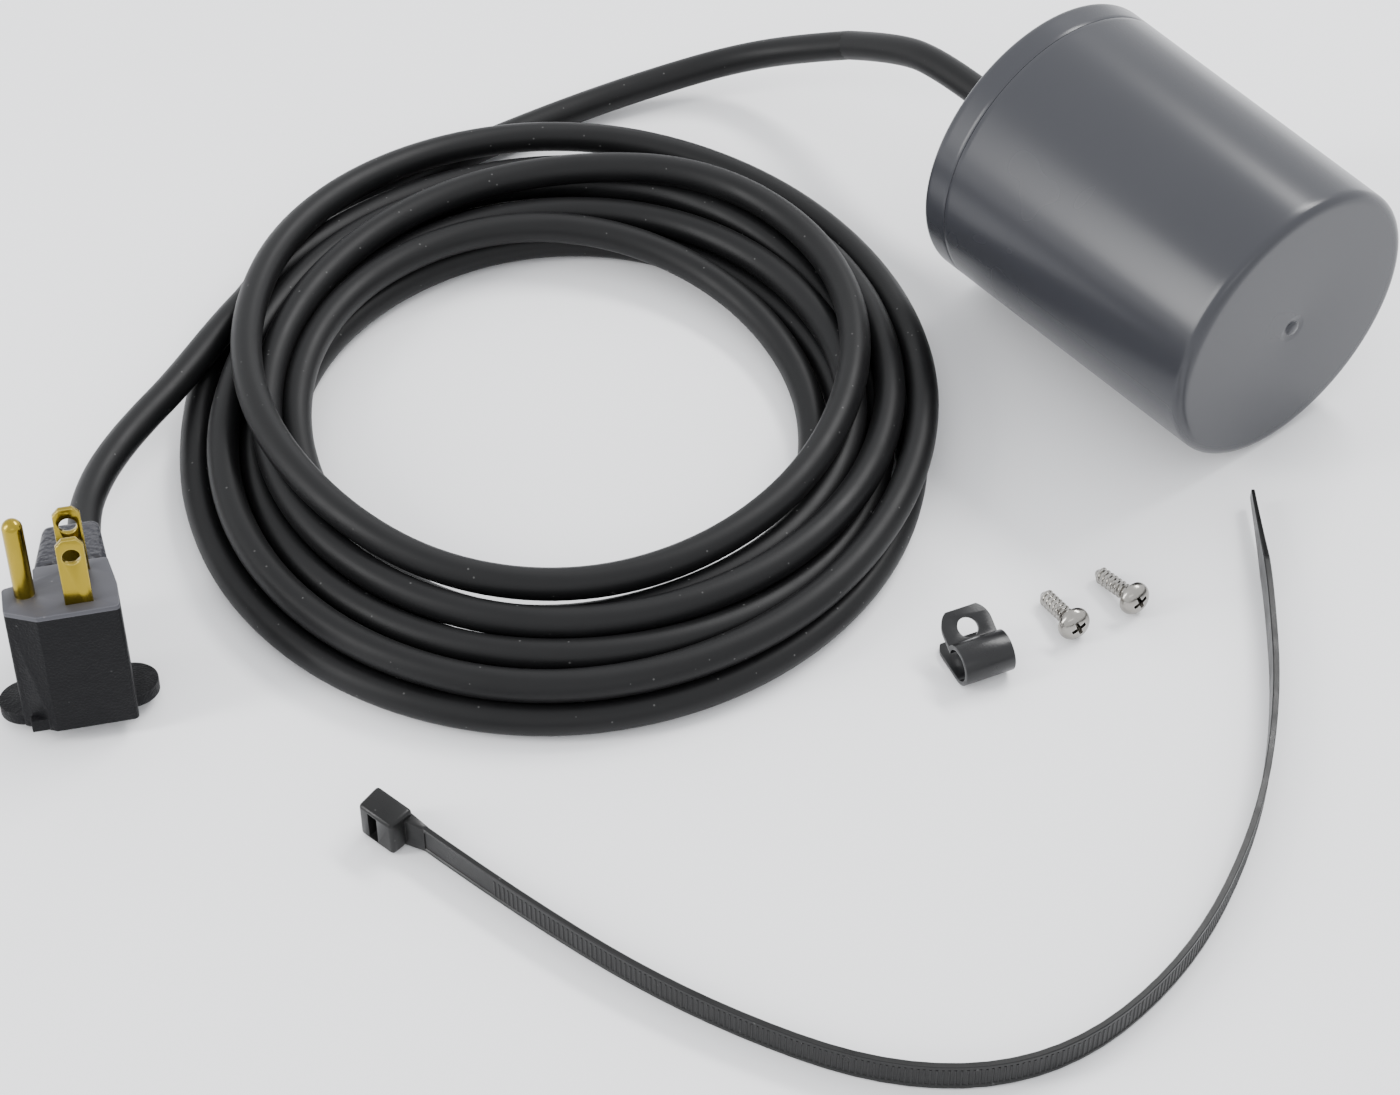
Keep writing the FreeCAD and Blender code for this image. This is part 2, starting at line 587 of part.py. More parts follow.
def plug_corners():
    return [("0 - left_side + chamfer_side", "0 - front_depth"), ("right_side", "0 - front_depth"),
            ("right_side", "0 - shoulder_front"), ("shoulder_side", "shoulder_back"),
            ("neck_right", "back_depth"), ("0 - neck_left", "back_depth"),
            ("0 - neck_left", "lobe_depth"), ("0 - left_side", "lobe_depth - lobe_slope"),
            ("0 - left_side", "0 - front_depth + chamfer_front")]


def make_plug_body(frame):
    """The moulded body with its finger ears, hollowed for its face, outlet and contacts."""
    block = padded("plug_block", "XY_Plane", plug_corners(), "plug_height - face_thick")
    fillet(block, block.Tip, "plug_round", upright_edge)
    items = [block]
    for name, place in (("right", "ear_right"), ("left", "0 - ear_left")):
        items.append(cylinder(f"ear_{name}", "ear_radius", "ear_thick", (place, "ear_depth", "0")))
    tools = [outlet_block("outlet_pocket")] + contact_pockets()
    tools += metal_roots("pocket", "pin_radius - pin_neck")
    keep("plug_body", cut("plug_moulding", join("plug_solid", items), tools), frame)


def make_plug_face(frame):
    body = padded("face_plate", "XY_Plane", plug_corners(), "face_thick")
    fillet(body, body.Tip, "plug_round", upright_edge)
    body.Placement = Placement(point("0", "0", "plug_height - face_thick"), Rotation())
    keep("plug_face", cut("face", body, metal_roots("face", "pin_radius - pin_neck")), frame)


def metal_roots(name, pin_root):
    """The spaces that the blades and the narrower root of the ground pin fill below the face."""
    low = "plug_height - blade_root"
    items = [box(f"{name}_blade", ("blade_width", "blade_thick", "blade_root"),
                 ("0 - blade_width / 2", f"{side} - blade_thick / 2", low))
             for side in blade_places()]
    items.append(cylinder(f"{name}_pin", pin_root, "blade_root", ("0 - pin_offset", "0", low)))
    return items


def blade_places():
    return ("0 - blade_pitch / 2", "blade_pitch / 2")


def make_blades(frame):
    """Two flat blades with clipped tips and a hole, and the round ground pin."""
    top = "blade_length + plug_height"
    low = "plug_height - blade_root"
    corners = [("0 - blade_width / 2", low), ("blade_width / 2", low),
               ("blade_width / 2", f"{top} - tip_chamfer"),
               ("blade_width / 2 - tip_chamfer", top), ("0 - blade_width / 2 + tip_chamfer", top),
               ("0 - blade_width / 2", f"{top} - tip_chamfer")]
    for name, place in zip(("line_blade", "neutral_blade"), blade_places()):
        blank = padded(f"{name}_blank", "XZ_Plane", corners, "blade_thick", midplane=True)
        hole = cylinder(f"{name}_hole", "hole_radius", "blade_thick * 4",
                        ("0", "blade_thick * 2", "plug_height + blade_hole"),
                        Rotation(Vector(1, 0, 0), 90))
        blade = cut(name + "_cut", blank, [hole])
        shift = Placement(point("0", place, "0"), Rotation())
        keep(name, blade, frame.multiply(shift))
    root = cylinder("pin_root", "pin_radius - pin_neck", "blade_root", ("0 - pin_offset", "0", low))
    shank = cylinder("pin_shank", "pin_radius", "pin_length - pin_radius",
                     ("0 - pin_offset", "0", "plug_height"))
    nose = primitive("Part::Sphere", "pin_nose", Radius="pin_radius",
                     place=("0 - pin_offset", "0", "plug_height + pin_length - pin_radius"))
    keep("ground_pin", join("pin_solid", [root, shank, nose]), frame)


def make_relief(frame):
    """The tapered block behind the face that the cord leaves through."""
    middle = "(neck_right - neck_left) / 2"
    corners = [("0 - neck_left", "back_depth"), ("neck_right", "back_depth"),
               (f"{middle} + relief_end / 2 + relief_shift", "back_depth + relief_length"),
               (f"{middle} - relief_end / 2 + relief_shift", "back_depth + relief_length")]
    body = padded("relief_block", "XY_Plane", corners, "relief_height")
    body.Placement = Placement(point("0", "0", "plug_height - relief_height"), Rotation())
    keep("strain_relief", body, frame)


def outlet_block(name):
    """The space for the outlet insert in the plug's underside."""
    return box(name, ("right_side + left_side - 2 * outlet_margin - outlet_step",
                      f"blade_pitch + {SLOT_WIDTH} + 2 * outlet_rim - outlet_step", "outlet_thick"),
               ("0 - left_side + outlet_margin",
                f"0 - (blade_pitch + {SLOT_WIDTH} + 2 * outlet_rim - outlet_step) / 2", "0"))


def make_outlet(frame):
    """The outlet insert in the underside: two slots and a round ground hole."""
    tools = [box("outlet_slot", (SLOT_LENGTH, SLOT_WIDTH, "outlet_thick"),
                 (f"0 - {SLOT_LENGTH} / 2", f"{side} - {SLOT_WIDTH} / 2", "0"))
             for side in blade_places()]
    tools.append(cylinder("outlet_round", OUTLET_HOLE, "outlet_thick", ("0 - pin_offset", "0", "0")))
    keep("outlet_face", cut("outlet", outlet_block("outlet_insert"), tools), frame)


def contact_sizes():
    return (SLOT_LENGTH, f"({SLOT_WIDTH} + 2 * contact_thick)", "contact_length")


def contact_pockets():
    """The hollows above the slots and the hole, which hold the outlet's contacts."""
    sizes = contact_sizes()
    items = [box("contact_pocket", sizes, (f"0 - {SLOT_LENGTH} / 2", f"{side} - {sizes[1]} / 2",
                                           "outlet_thick")) for side in blade_places()]
    items.append(cylinder("sleeve_pocket", f"{SLEEVE_BORE} + sleeve_wall", "sleeve_length",
                          ("0 - pin_offset", "0", "outlet_thick")))
    return items


def make_outlet_contacts(frame):
    """Folded spring contacts above the slots, and a sleeve above the ground hole."""
    sizes = contact_sizes()
    for name, side in zip(("line_contact", "neutral_contact"), blade_places()):
        block = box(name + "_block", sizes, (f"0 - {SLOT_LENGTH} / 2", f"{side} - {sizes[1]} / 2",
                                             "outlet_thick"))
        gap = box(name + "_gap", (SLOT_LENGTH, SLOT_WIDTH, "contact_length - contact_thick"),
                  (f"0 - {SLOT_LENGTH} / 2", f"{side} - {SLOT_WIDTH} / 2", "outlet_thick"))
        keep(name, cut(name + "_cut", block, [gap]), frame)
    place = ("0 - pin_offset", "0", "outlet_thick")
    rod = cylinder("sleeve_rod", f"{SLEEVE_BORE} + sleeve_wall", "sleeve_length", place)
    hole = cylinder("sleeve_hole", SLEEVE_BORE, "sleeve_length - sleeve_end", place)
    sleeve = cut("sleeve_cut", rod, [hole])
    keep("ground_sleeve", sleeve, frame)


# ---- mounting hardware -------------------------------------------------------------------------

def make_clamp():
    """The P-clamp: one strap with a flat leg, a loop for the cord and a raised screw tab."""
    inner, thick = size(LOOP_RADIUS), size("strap_thick")
    outer = inner + thick
    tilt = math.radians(size("tab_tilt"))
    along = Vector(math.cos(tilt), math.sin(tilt))
    lift = Vector(-math.sin(tilt), math.cos(tilt))
    centre = Vector(outer, outer)
    # The tab's upper face starts at the loop's back, a little above the loop's centre.
    start_angle = math.asin(size("tab_level") / outer)
    upper_start = centre + Vector(math.cos(start_angle), math.sin(start_angle)) * outer
    lower_line = upper_start - lift * thick
    inner_meet = crossing(lower_line - centre, along, inner)
    tab_length = (size("tab_reach") - upper_start.x) / math.cos(tilt)
    upper_end = upper_start + along * tab_length
    lower_end = upper_end - lift * thick
    leg = size("leg_length")

    def flat(spot):
        return Vector(0, spot.x, spot.y)

    edges = [Part.LineSegment(flat(Vector(leg, 0)), flat(Vector(outer, 0))).toShape(),
             Part.Arc(flat(Vector(outer, 0)), flat(Vector(0, outer)), flat(upper_start)).toShape(),
             Part.LineSegment(flat(upper_start), flat(upper_end)).toShape(),
             Part.LineSegment(flat(upper_end), flat(lower_end)).toShape(),
             Part.LineSegment(flat(lower_end), flat(centre + inner_meet)).toShape(),
             Part.Arc(flat(centre + inner_meet), flat(Vector(thick, outer)),
                      flat(Vector(outer, thick))).toShape(),
             Part.LineSegment(flat(Vector(outer, thick)), flat(Vector(leg, thick))).toShape(),
             Part.LineSegment(flat(Vector(leg, thick)), flat(Vector(leg, 0))).toShape()]
    width = size("strap_width")
    strap = Part.Face(Part.Wire(edges)).extrude(Vector(width, 0, 0))
    strap = strap.common(rounded_plan(width, upper_end.x + thick / 2, size("tab_corner")))
    inset = size("hole_inset")
    hole_centre = upper_end - along * inset
    reach = thick * 3
    upper_hole = Part.makeCylinder(size(CLAMP_HOLE), 2 * reach,
                                   flat(hole_centre + lift * reach) + Vector(width / 2, 0, 0),
                                   flat(lift) * -1)
    lower_hole = Part.makeCylinder(size(CLAMP_HOLE), thick * 2,
                                   Vector(width / 2, leg - inset, -thick / 2))
    place = Placement(Vector(CLAMP_X, CLAMP_Y, 0), Rotation(Vector(0, 0, 1), CLAMP_YAW))
    keep_shape("cord_clamp", strap.cut(upper_hole).cut(lower_hole), place)
    print("clamp hole", place.multVec(flat(hole_centre - lift * thick / 2) + Vector(width / 2, 0, 0)),
          "normal", place.Rotation.multVec(flat(lift)))
    print("clamp loop", place.multVec(flat(centre) + Vector(width / 2, 0, 0)))


def crossing(start, along, radius):
    """Where a line leaves a circle about the origin."""
    shift = start.dot(along)
    depth = start.dot(start) - radius ** 2
    return start + along * (math.sqrt(max(shift ** 2 - depth, 0)) - shift)


def rounded_plan(width, reach, corner):
    """The strap's plan: square at the loop, with two round corners at the tab's end."""
    block = Part.makeBox(width, reach + corner, 2 * reach, Vector(0, -corner, -SPARE))
    far = [edge for edge in block.Edges if abs(edge.CenterOfMass.y - reach) < 0.01
           and abs(edge.Vertexes[0].Z - edge.Vertexes[1].Z) > reach]
    return block.makeFillet(corner, far)


def screw_corners():
    """Half of the screw's section: the point, the thread rings, the shank and the pan head."""
    pitch = size("thread_pitch")
    rings = int(size("screw_length - point_length * 1.7") / pitch)
    corners = [("0", "0"), ("root_radius * 0.6", "0"), ("root_radius", "point_length * 0.9")]
    for ring in range(rings):
        low = f"point_length + thread_pitch * {ring}"
        corners += [("root_radius", f"{low} + thread_pitch * 0.1"),
                    ("shank_radius", f"{low} + thread_pitch * 0.45"),
                    ("shank_radius", f"{low} + thread_pitch * 0.6"),
                    ("root_radius", f"{low} + thread_pitch * 0.95")]
    corners += [("root_radius", "screw_length"), ("head_radius", "screw_length"),
                ("head_radius", "screw_length + head_height - head_edge * 1.6"),
                ("head_radius * 0.86", "screw_length + head_height - head_edge * 0.6"),
                ("head_radius * 0.55", "screw_length + head_height - head_edge * 0.1"),
                ("0", "screw_length + head_height")]
    return corners


def make_screw(name, place):
    turned = revolved(name + "_turned", screw_corners())
    low = "screw_length + head_height - cross_depth"
    cross = [box(f"{name}_cross_{tag}", sizes + ("cross_depth + 1",), spot + (low,))
             for tag, sizes, spot in (
                 ("long", ("cross_length", "cross_width"),
                  ("0 - cross_length / 2", "0 - cross_width / 2")),
                 ("wide", ("cross_width", "cross_length"),
                  ("0 - cross_width / 2", "0 - cross_length / 2")))]
    screw = cut(name + "_cut", turned, cross)
    first_thread = size("point_length + thread_pitch * 0.45")
    fall = math.atan(size("head_radius - shank_radius") / (size("screw_length") - first_thread))
    yaw = math.radians(place[2])
    axis = Vector(math.cos(yaw) * math.cos(fall), math.sin(yaw) * math.cos(fall), math.sin(fall))
    across = Vector(0, 0, 1).cross(axis).normalize()
    turn = Rotation(across, axis.cross(across), axis, "ZXY")
    head = size("screw_length")
    level = size("head_radius") * math.cos(fall)
    start = Vector(place[0], place[1], level) - axis * head
    keep(name, screw, Placement(start, turn))


def make_tie():
    """The cable tie on its edge: a smooth strap with a pointed tip and a square head."""
    width, thick = size("tie_width"), size("tie_thick")
    route = [Vector(x, y, 0) for x, y in TIE_ROUTE]
    path, radii = arc_wire(route)
    section = Part.makePolygon([route[0] + spot for spot in tie_section(route, width, thick)])
    strap = Part.Solid(path.makePipeShell([section], True, False))
    if strap.Volume < 0:
        strap.reverse()
    end_way = (route[-1] - route[-2]).normalize()
    side = Vector(-end_way.y, end_way.x, 0)
    head_way = (route[0] - route[1]).normalize()
    head_side = Vector(-head_way.y, head_way.x, 0)
    tip = tie_tip(route[-1], end_way, side, width, thick)
    head = tie_head(route[0], head_way, head_side, width)
    keep_shape("cable_tie", strap.fuse([tip, head]).removeSplitter())
    print(f"tie strap {path.Length:.1f} mm, radii", [round(value) for value in radii])


def tie_section(route, width, thick):
    way = (route[1] - route[0]).normalize()
    side = Vector(-way.y, way.x, 0) * (thick / 2)
    top = Vector(0, 0, width)
    return [side, side + top, top - side, side * -1, side]


def tie_tip(start, way, side, width, thick):
    """The tip narrows from the strap's full width over twice that width."""
    spots = [Vector(0, 0, 0), way * width * 2 + Vector(0, 0, width * 0.3),
             way * width * 2 + Vector(0, 0, width * 0.7), Vector(0, 0, width), Vector(0, 0, 0)]
    face = Part.Face(Part.makePolygon([start + spot - side * (thick / 2) for spot in spots]))
    return face.extrude(side * thick)


def tie_head(start, way, side, width):
    """The square head, with the slot that takes the strap's tip."""
    length, depth = size("tie_head"), size("tie_head_thick")
    height = width + size("tie_head_rise")
    corner = start - side * (size("tie_thick") / 2)
    block = Part.makeBox(length, depth, height)
    tall = width + size("tie_slot_gap") / 2
    slot = Part.makeBox(size("tie_thick + tie_slot_gap"), depth + 2 * SPARE, tall,
                        Vector(size("tie_slot_inset"), -SPARE, (height - tall) / 2))
    head = block.makeFillet(size("tie_head_round"), block.Edges).cut(slot)
    turn = Rotation(way, side, Vector(0, 0, 1), "XYZ")
    head.Placement = Placement(corner - way * size("tie_slot_gap / 2"), turn)
    return head


# ---- build -------------------------------------------------------------------------------------

def build():
    fill_sheet()
    float_place = float_frame()
    plug_place = plug_frame()
    for make in (make_shell, make_cap, make_gland, make_cord_stub, make_seal, make_track,
                 make_carrier, make_switch, make_switch_screws, make_leads):
        make(float_place)
    for make in (make_plug_body, make_plug_face, make_blades, make_relief, make_outlet,
                 make_outlet_contacts):
        make(plug_place)
    make_cords(float_place, plug_place)
    make_coil()
    make_clamp()
    for name, place in SCREWS.items():
        make_screw(name, place)
    make_tie()
    doc.recompute()
    for item, frame in nodes.values():
        item.Placement = frame.multiply(item.Placement)
    doc.recompute()


def check():
    for item in doc.Objects:
        if "Invalid" in item.State or "Error" in item.State:
            raise ValueError(f"{item.Label}: {item.State}")
    for name, (item, _) in nodes.items():
        if item.Shape.isNull() or not item.Shape.isValid() or not item.Shape.Solids:
            raise ValueError(f"{name} has no valid solid")


def write():
    os.makedirs("parts", exist_ok=True)
    for name, (item, _) in nodes.items():
        item.Shape.exportStep(f"parts/{name}.step")
        bounds = item.Shape.optimalBoundingBox(False)
        print(f"{name:18s} {len(item.Shape.Solids)} solid  {item.Shape.Volume:10.1f} mm3"
              f"  x {bounds.XMin:.1f} {bounds.XMax:.1f}  y {bounds.YMin:.1f} {bounds.YMax:.1f}"
              f"  z {bounds.ZMin:.2f} {bounds.ZMax:.1f}")


build()
check()
write()
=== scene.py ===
# %% [markdown]
# # A tethered float switch, ready to hang on a sump pump
#
# The real object is a sealed grey plastic float with a ball and a switch inside, on a long black
# rubber cord that ends in a piggyback plug. A P-clamp, two screws and a cable tie come with it.
# The CAD model fixes every size and place, and this script makes the surfaces worth looking at.
# We begin by loading that frame, because every later step reads its places from it.

# %% Load the frame
import json
import math
import bmesh
import bpy
import numpy as np
from mathutils import Matrix, Vector


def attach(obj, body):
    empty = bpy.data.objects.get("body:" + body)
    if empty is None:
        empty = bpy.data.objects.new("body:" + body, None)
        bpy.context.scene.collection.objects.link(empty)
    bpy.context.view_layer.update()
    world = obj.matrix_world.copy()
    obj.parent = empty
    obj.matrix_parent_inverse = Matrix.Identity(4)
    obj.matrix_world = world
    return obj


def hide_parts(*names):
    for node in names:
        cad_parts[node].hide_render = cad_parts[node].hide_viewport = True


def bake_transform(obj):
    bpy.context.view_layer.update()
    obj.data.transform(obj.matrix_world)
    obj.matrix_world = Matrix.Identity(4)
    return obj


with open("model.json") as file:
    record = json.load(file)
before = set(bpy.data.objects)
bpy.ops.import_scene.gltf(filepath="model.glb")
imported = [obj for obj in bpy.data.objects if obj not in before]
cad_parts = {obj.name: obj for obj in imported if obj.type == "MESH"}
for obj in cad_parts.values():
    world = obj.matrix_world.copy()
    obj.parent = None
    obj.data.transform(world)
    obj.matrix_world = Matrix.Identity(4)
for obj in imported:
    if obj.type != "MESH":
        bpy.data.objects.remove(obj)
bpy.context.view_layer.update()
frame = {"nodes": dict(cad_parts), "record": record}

joints = {joint["name"]: joint for joint in frame["record"]["behaviour"]["joints"]}
slot_of = {part["node"]: part["material_slot"] for part in frame["record"]["subparts"]}

# %% [markdown]
# ## The camera
#
# A camera is placed like a photographer's: where it stands, how far it tips down, and its lens.
# It stands in front of the object, tipped 46 degrees, and the lens is long, so that the float at the
# back looks nearly as large as the plug in front. The rotation could come from a tracking
# constraint, but a plain angle says more and moves less.

# %% Camera
CAMERA_PLACE = (-0.049, -0.5447, 0.5765)
CAMERA_TIP = math.radians(46)
CAMERA_LENS = 84.9
CAMERA_SENSOR = 36

camera = bpy.data.objects.new("camera", bpy.data.cameras.new("camera"))
bpy.context.collection.objects.link(camera)
camera.location = CAMERA_PLACE
camera.rotation_euler = (math.pi / 2 - CAMERA_TIP, 0, 0)
camera.data.lens = CAMERA_LENS
camera.data.sensor_width = CAMERA_SENSOR
bpy.context.scene.camera = camera
print("camera at", CAMERA_PLACE, "tipped down by", round(math.degrees(CAMERA_TIP)), "degrees")

# %% [markdown]
# ## The floor and the light
#
# Product shots use a pale sweep under an even sky, and long strip lamps that draw streaks along glossy
# plastic. Point lamps would give hard little sparkles instead. The key lamp stands behind on the
# right, and it draws the long streak on the float's shoulder.

# %% Floor
FLOOR_HALF = 3.0
FLOOR_DROP = 0.0004

floor_mesh = bmesh.new()
bmesh.ops.create_grid(floor_mesh, x_segments=1, y_segments=1, size=FLOOR_HALF)
bmesh.ops.translate(floor_mesh, verts=floor_mesh.verts, vec=(0, 0, -FLOOR_DROP))
floor_data = bpy.data.meshes.new("floor")
floor_mesh.to_mesh(floor_data)
floor_mesh.free()
floor = bpy.data.objects.new("floor", floor_data)
bpy.context.collection.objects.link(floor)
print("floor", FLOOR_HALF * 2, "metres square")

# %% Lamps
MIDDLE = Vector((-0.05, 0.02, 0.02))


def lamp(name, place, size, power):
    """A strip lamp that faces the middle of the object."""
    light = bpy.data.lights.new(name, "AREA")
    light.shape = "RECTANGLE"
    light.size, light.size_y = size
    light.energy = power
    item = bpy.data.objects.new(name, light)
    item.location = place
    item.rotation_euler = (MIDDLE - Vector(place)).to_track_quat("-Z", "Y").to_euler()
    bpy.context.collection.objects.link(item)
    return item


lamp("key_lamp", (0.60, 0.66, 1.05), (0.8, 0.22), 15)
lamp("left_lamp", (-1.1, -0.25, 0.55), (0.22, 0.8), 10)
lamp("front_lamp", (0.2, -1.3, 1.0), (1.0, 0.25), 1.5)

SKY_COLOUR = (0.96, 0.975, 1.0, 1)
SKY_STRENGTH = 1.65
world = bpy.data.worlds.new("studio")
bpy.context.scene.world = world
world.use_nodes = True
sky = world.node_tree.nodes["Background"]
sky.inputs["Color"].default_value = SKY_COLOUR
sky.inputs["Strength"].default_value = SKY_STRENGTH
print("three lamps and a pale sky")

# %% [markdown]
# ## The cord's route
#
# The cord is one length of 7.9 mm rubber. It leaves the float's gland, comes down behind the coil,
# winds through it and rises to the plug. Outside the coil its points are listed one by one, as a
# person would lay it. The stretch next to the gland bends when the float swings, so it is a piece of
# its own.

# %% Route points outside the coil
CORD_DIAMETER = 0.0079
CORD_RADIUS = CORD_DIAMETER / 2
GLAND_TIP = Vector(joints["float_swing"]["pos_m"])
PLUG_EXIT = Vector((-0.19312, -0.00775, 0.01866))

TETHER_REACH = 0.0203
TETHER_FIRST = GLAND_TIP - Vector(joints["ball_roll"]["axis"]) * TETHER_REACH
TETHER_ROUTE = [tuple(TETHER_FIRST), (0.0035, 0.1640, 0.0350), (-0.0085, 0.1760, 0.0265)]
FLOAT_ROUTE = [(-0.0085, 0.1760, 0.0265), (-0.0235, 0.1855, 0.0180), (-0.0410, 0.1895, 0.0110),
               (-0.0590, 0.1865, 0.0068), (-0.0770, 0.1795, 0.0048), (-0.0950, 0.1695, 0.0041),
               (-0.1115, 0.1585, 0.0041), (-0.1250, 0.1470, 0.0041)]
PLUG_ROUTE = [(-0.1961, 0.0056, 0.0159), (-0.1950, 0.0203, 0.0144), (-0.1913, 0.0330, 0.0134),
              (-0.1860, 0.0450, 0.0127), (-0.1799, 0.0566, 0.0121), (-0.1739, 0.0688, 0.0118)]
print("the tether starts at", [round(value, 4) for value in GLAND_TIP])

# %% [markdown]
# ## The coil
#
# A hand-wound coil isn't a helix: its turns are nearly the same size, but each lies shifted from
# the one below, and some cross over. A helix formula would look like a spring. Instead each stretch
# of the winding gets a rough oval, and then the turns settle: they sink, and where two lie
# closer than a diameter they push each other apart. That is what a real coil does when it is put down.

# %% Rough turns
COIL_X = -0.0845
COIL_START = math.radians(114)
COIL_STEPS = 48
# turn number, middle along Y, half width along X, half depth along Y, height
COIL_LAY = [(0.00, 0.052, 0.0990, 0.1040, 0.0041), (0.18, 0.050, 0.0890, 0.0960, 0.0041),
            (0.43, 0.045, 0.0900, 0.0920, 0.0041), (0.93, 0.045, 0.0880, 0.0900, 0.0041),
            (1.43, 0.044, 0.0820, 0.0830, 0.0041), (2.43, 0.046, 0.0740, 0.0770, 0.0045),
            (3.43, 0.052, 0.0740, 0.0780, 0.0120), (4.43, 0.050, 0.0820, 0.0870, 0.0125),
            (5.43, 0.049, 0.0890, 0.0940, 0.0150), (5.93, 0.062, 0.0870, 0.0955, 0.0195),
            (6.18, 0.068, 0.0790, 0.0900, 0.0200), (6.43, 0.070, 0.0770, 0.0885, 0.0195),
            (6.68, 0.066, 0.0755, 0.0860, 0.0190), (6.93, 0.057, 0.0760, 0.0810, 0.0185),
            (7.43, 0.053, 0.0800, 0.0850, 0.0180), (7.68, 0.052, 0.0850, 0.0900, 0.0165),
            (7.93, 0.052, 0.0880, 0.0950, 0.0140), (8.15, 0.052, 0.0885, 0.0950, 0.0118)]


def rough_turns():
    """Points of the whole winding, anticlockwise from the back, before it settles."""
    lay = np.array(COIL_LAY)
    turns = np.linspace(0, lay[-1, 0], round(lay[-1, 0] * COIL_STEPS))
    middle, width, depth, height = (np.interp(turns, lay[:, 0], column) for column in lay.T[1:])
    angle = COIL_START + turns * 2 * math.pi
    return np.column_stack([COIL_X + width * np.cos(angle), middle + depth * np.sin(angle), height])


# %% Let the turns settle
SETTLE_ROUNDS = 260
SINK = 0.00006
TURN_GAP = 0.0080
SMOOTHING = 0.4
FLOOR_GAP = 0.0001


def settle(points, held):
    """Sink the turns, and push apart those that lie closer than a diameter."""
    rest = points.copy()
    order = np.arange(len(points))
    strangers = np.abs(order[:, None] - order[None, :]) > COIL_STEPS // 4
    for _ in range(SETTLE_ROUNDS):
        points[:, 2] -= SINK
        shift = points - rest
        shift[1:-1] += SMOOTHING * (shift[:-2] + shift[2:] - 2 * shift[1:-1])
        points = rest + shift
        tangent = np.gradient(points, axis=0)
        step = np.linalg.norm(tangent, axis=1)
        tangent /= step[:, None]
        gap = points[:, None] - points[None, :]
        along = np.einsum("ijk,ik->ij", gap, tangent)
        across = gap - along[..., None] * tangent[:, None]
        distance = np.linalg.norm(across, axis=2) + 1e-9
        close = strangers & (np.abs(along) < step[:, None]) & (distance < TURN_GAP)
        push = np.where(close, (TURN_GAP - distance) / distance, 0) * 0.5
        moves = (across * push[..., None]).sum(axis=1)
        points += moves / np.maximum(close.sum(axis=1), 1)[:, None]
        points[:, 2] = np.maximum(points[:, 2], CORD_RADIUS + FLOOR_GAP)
        points[held] = rest[held]
    return points


rough = rough_turns()
held = np.zeros(len(rough), bool)
held[:2] = held[-2:] = True
settled = settle(rough, held)
coil_points = settled[1:-1:2]
print(len(coil_points), "points in the coil, from", round(float(settled[:, 2].min()), 4), "to",
      round(float(settled[:, 2].max()), 4), "metres high")

# %% One smooth line
CURVE_STEPS, ROUND_STEPS = 6, 7


def shown_mesh(item):
    """The mesh that an object shows, with its section or its modifiers."""
    return bpy.data.meshes.new_from_object(item.evaluated_get(
        bpy.context.evaluated_depsgraph_get()))


def smooth_curve(name, points, thick):
    """A NURBS curve with a round section; its order is set once its points are there."""
    data = bpy.data.curves.new(name, "CURVE")
    data.dimensions = "3D"
    spline = data.splines.new("NURBS")
    spline.points.add(len(points) - 1)
    for spot, place in zip(spline.points, points):
        spot.co = (*place, 1)
    spline.order_u = 3
    spline.use_endpoint_u = True
    data.resolution_u = CURVE_STEPS
    data.bevel_depth = thick / 2
    data.bevel_resolution = ROUND_STEPS
    data.use_fill_caps = True
    item = bpy.data.objects.new(name, data)
    bpy.context.collection.objects.link(item)
    return item


def line_of(curve):
    """The points that a curve's line passes through, read with no section."""
    depth = curve.data.bevel_depth
    curve.data.bevel_depth = 0
    bpy.context.view_layer.update()
    mesh = shown_mesh(curve)
    line = [vertex.co.copy() for vertex in mesh.vertices]
    bpy.data.meshes.remove(mesh)
    curve.data.bevel_depth = depth
    bpy.context.view_layer.update()
    return line


def length_of(line):
    """The length of a line through its points."""
    return sum((after - before).length for before, after in zip(line, line[1:]))


main_points = FLOAT_ROUTE[:-1] + [tuple(spot) for spot in coil_points] + PLUG_ROUTE[-2::-1]
main_cord = smooth_curve("cord_main", main_points + [tuple(PLUG_EXIT)], CORD_DIAMETER)
main_line = line_of(main_cord)

# %% Both cords as tubes
def tube_of(curve, name):
    """A mesh tube of a curve, with the curve's own UV map along and around it."""
    mesh = shown_mesh(curve)
    item = bpy.data.objects.new(name, mesh)
    bpy.context.collection.objects.link(item)
    bpy.data.objects.remove(curve)
    mesh.shade_smooth()
    return item


tether_curve = smooth_curve("tether_line", [tuple(GLAND_TIP)] + TETHER_ROUTE, CORD_DIAMETER)
tether_line = line_of(tether_curve)
tether = tube_of(tether_curve, "cord_tether_skin")
main_cord = tube_of(main_cord, "cord_main_skin")
print("the tether is", round(length_of(tether_line), 4), "metres long,", "UV maps:",
      [layer.name for layer in main_cord.data.uv_layers])

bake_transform(tether)
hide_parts("cord_tether")
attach(main_cord, "cord_set")
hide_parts("cord_float_run", "cord_coil", "cord_plug_run")

# %% [markdown]
# ## Finishes
#
# A moulded part is never one flat colour. It has faint clouds in its colour, gloss that varies where
# hands and boxes rubbed it, a fine grain from the mould, and paler edges. All the finishes need
# those four, so one node group makes them from Object coordinates and each material mixes its own.
# Image textures could show more, but a pattern made from nodes has no seams and any scale.

# %% A shared group: clouds, grain and rubbed edges
def add(tree, kind, sockets=(), **settings):
    """A shader node with its settings and its constant sockets filled in."""
    node = tree.nodes.new("ShaderNode" + kind)
    for key, value in settings.items():
        setattr(node, key, value)
    for key, value in dict(sockets).items():
        node.inputs[key].default_value = value
    return node


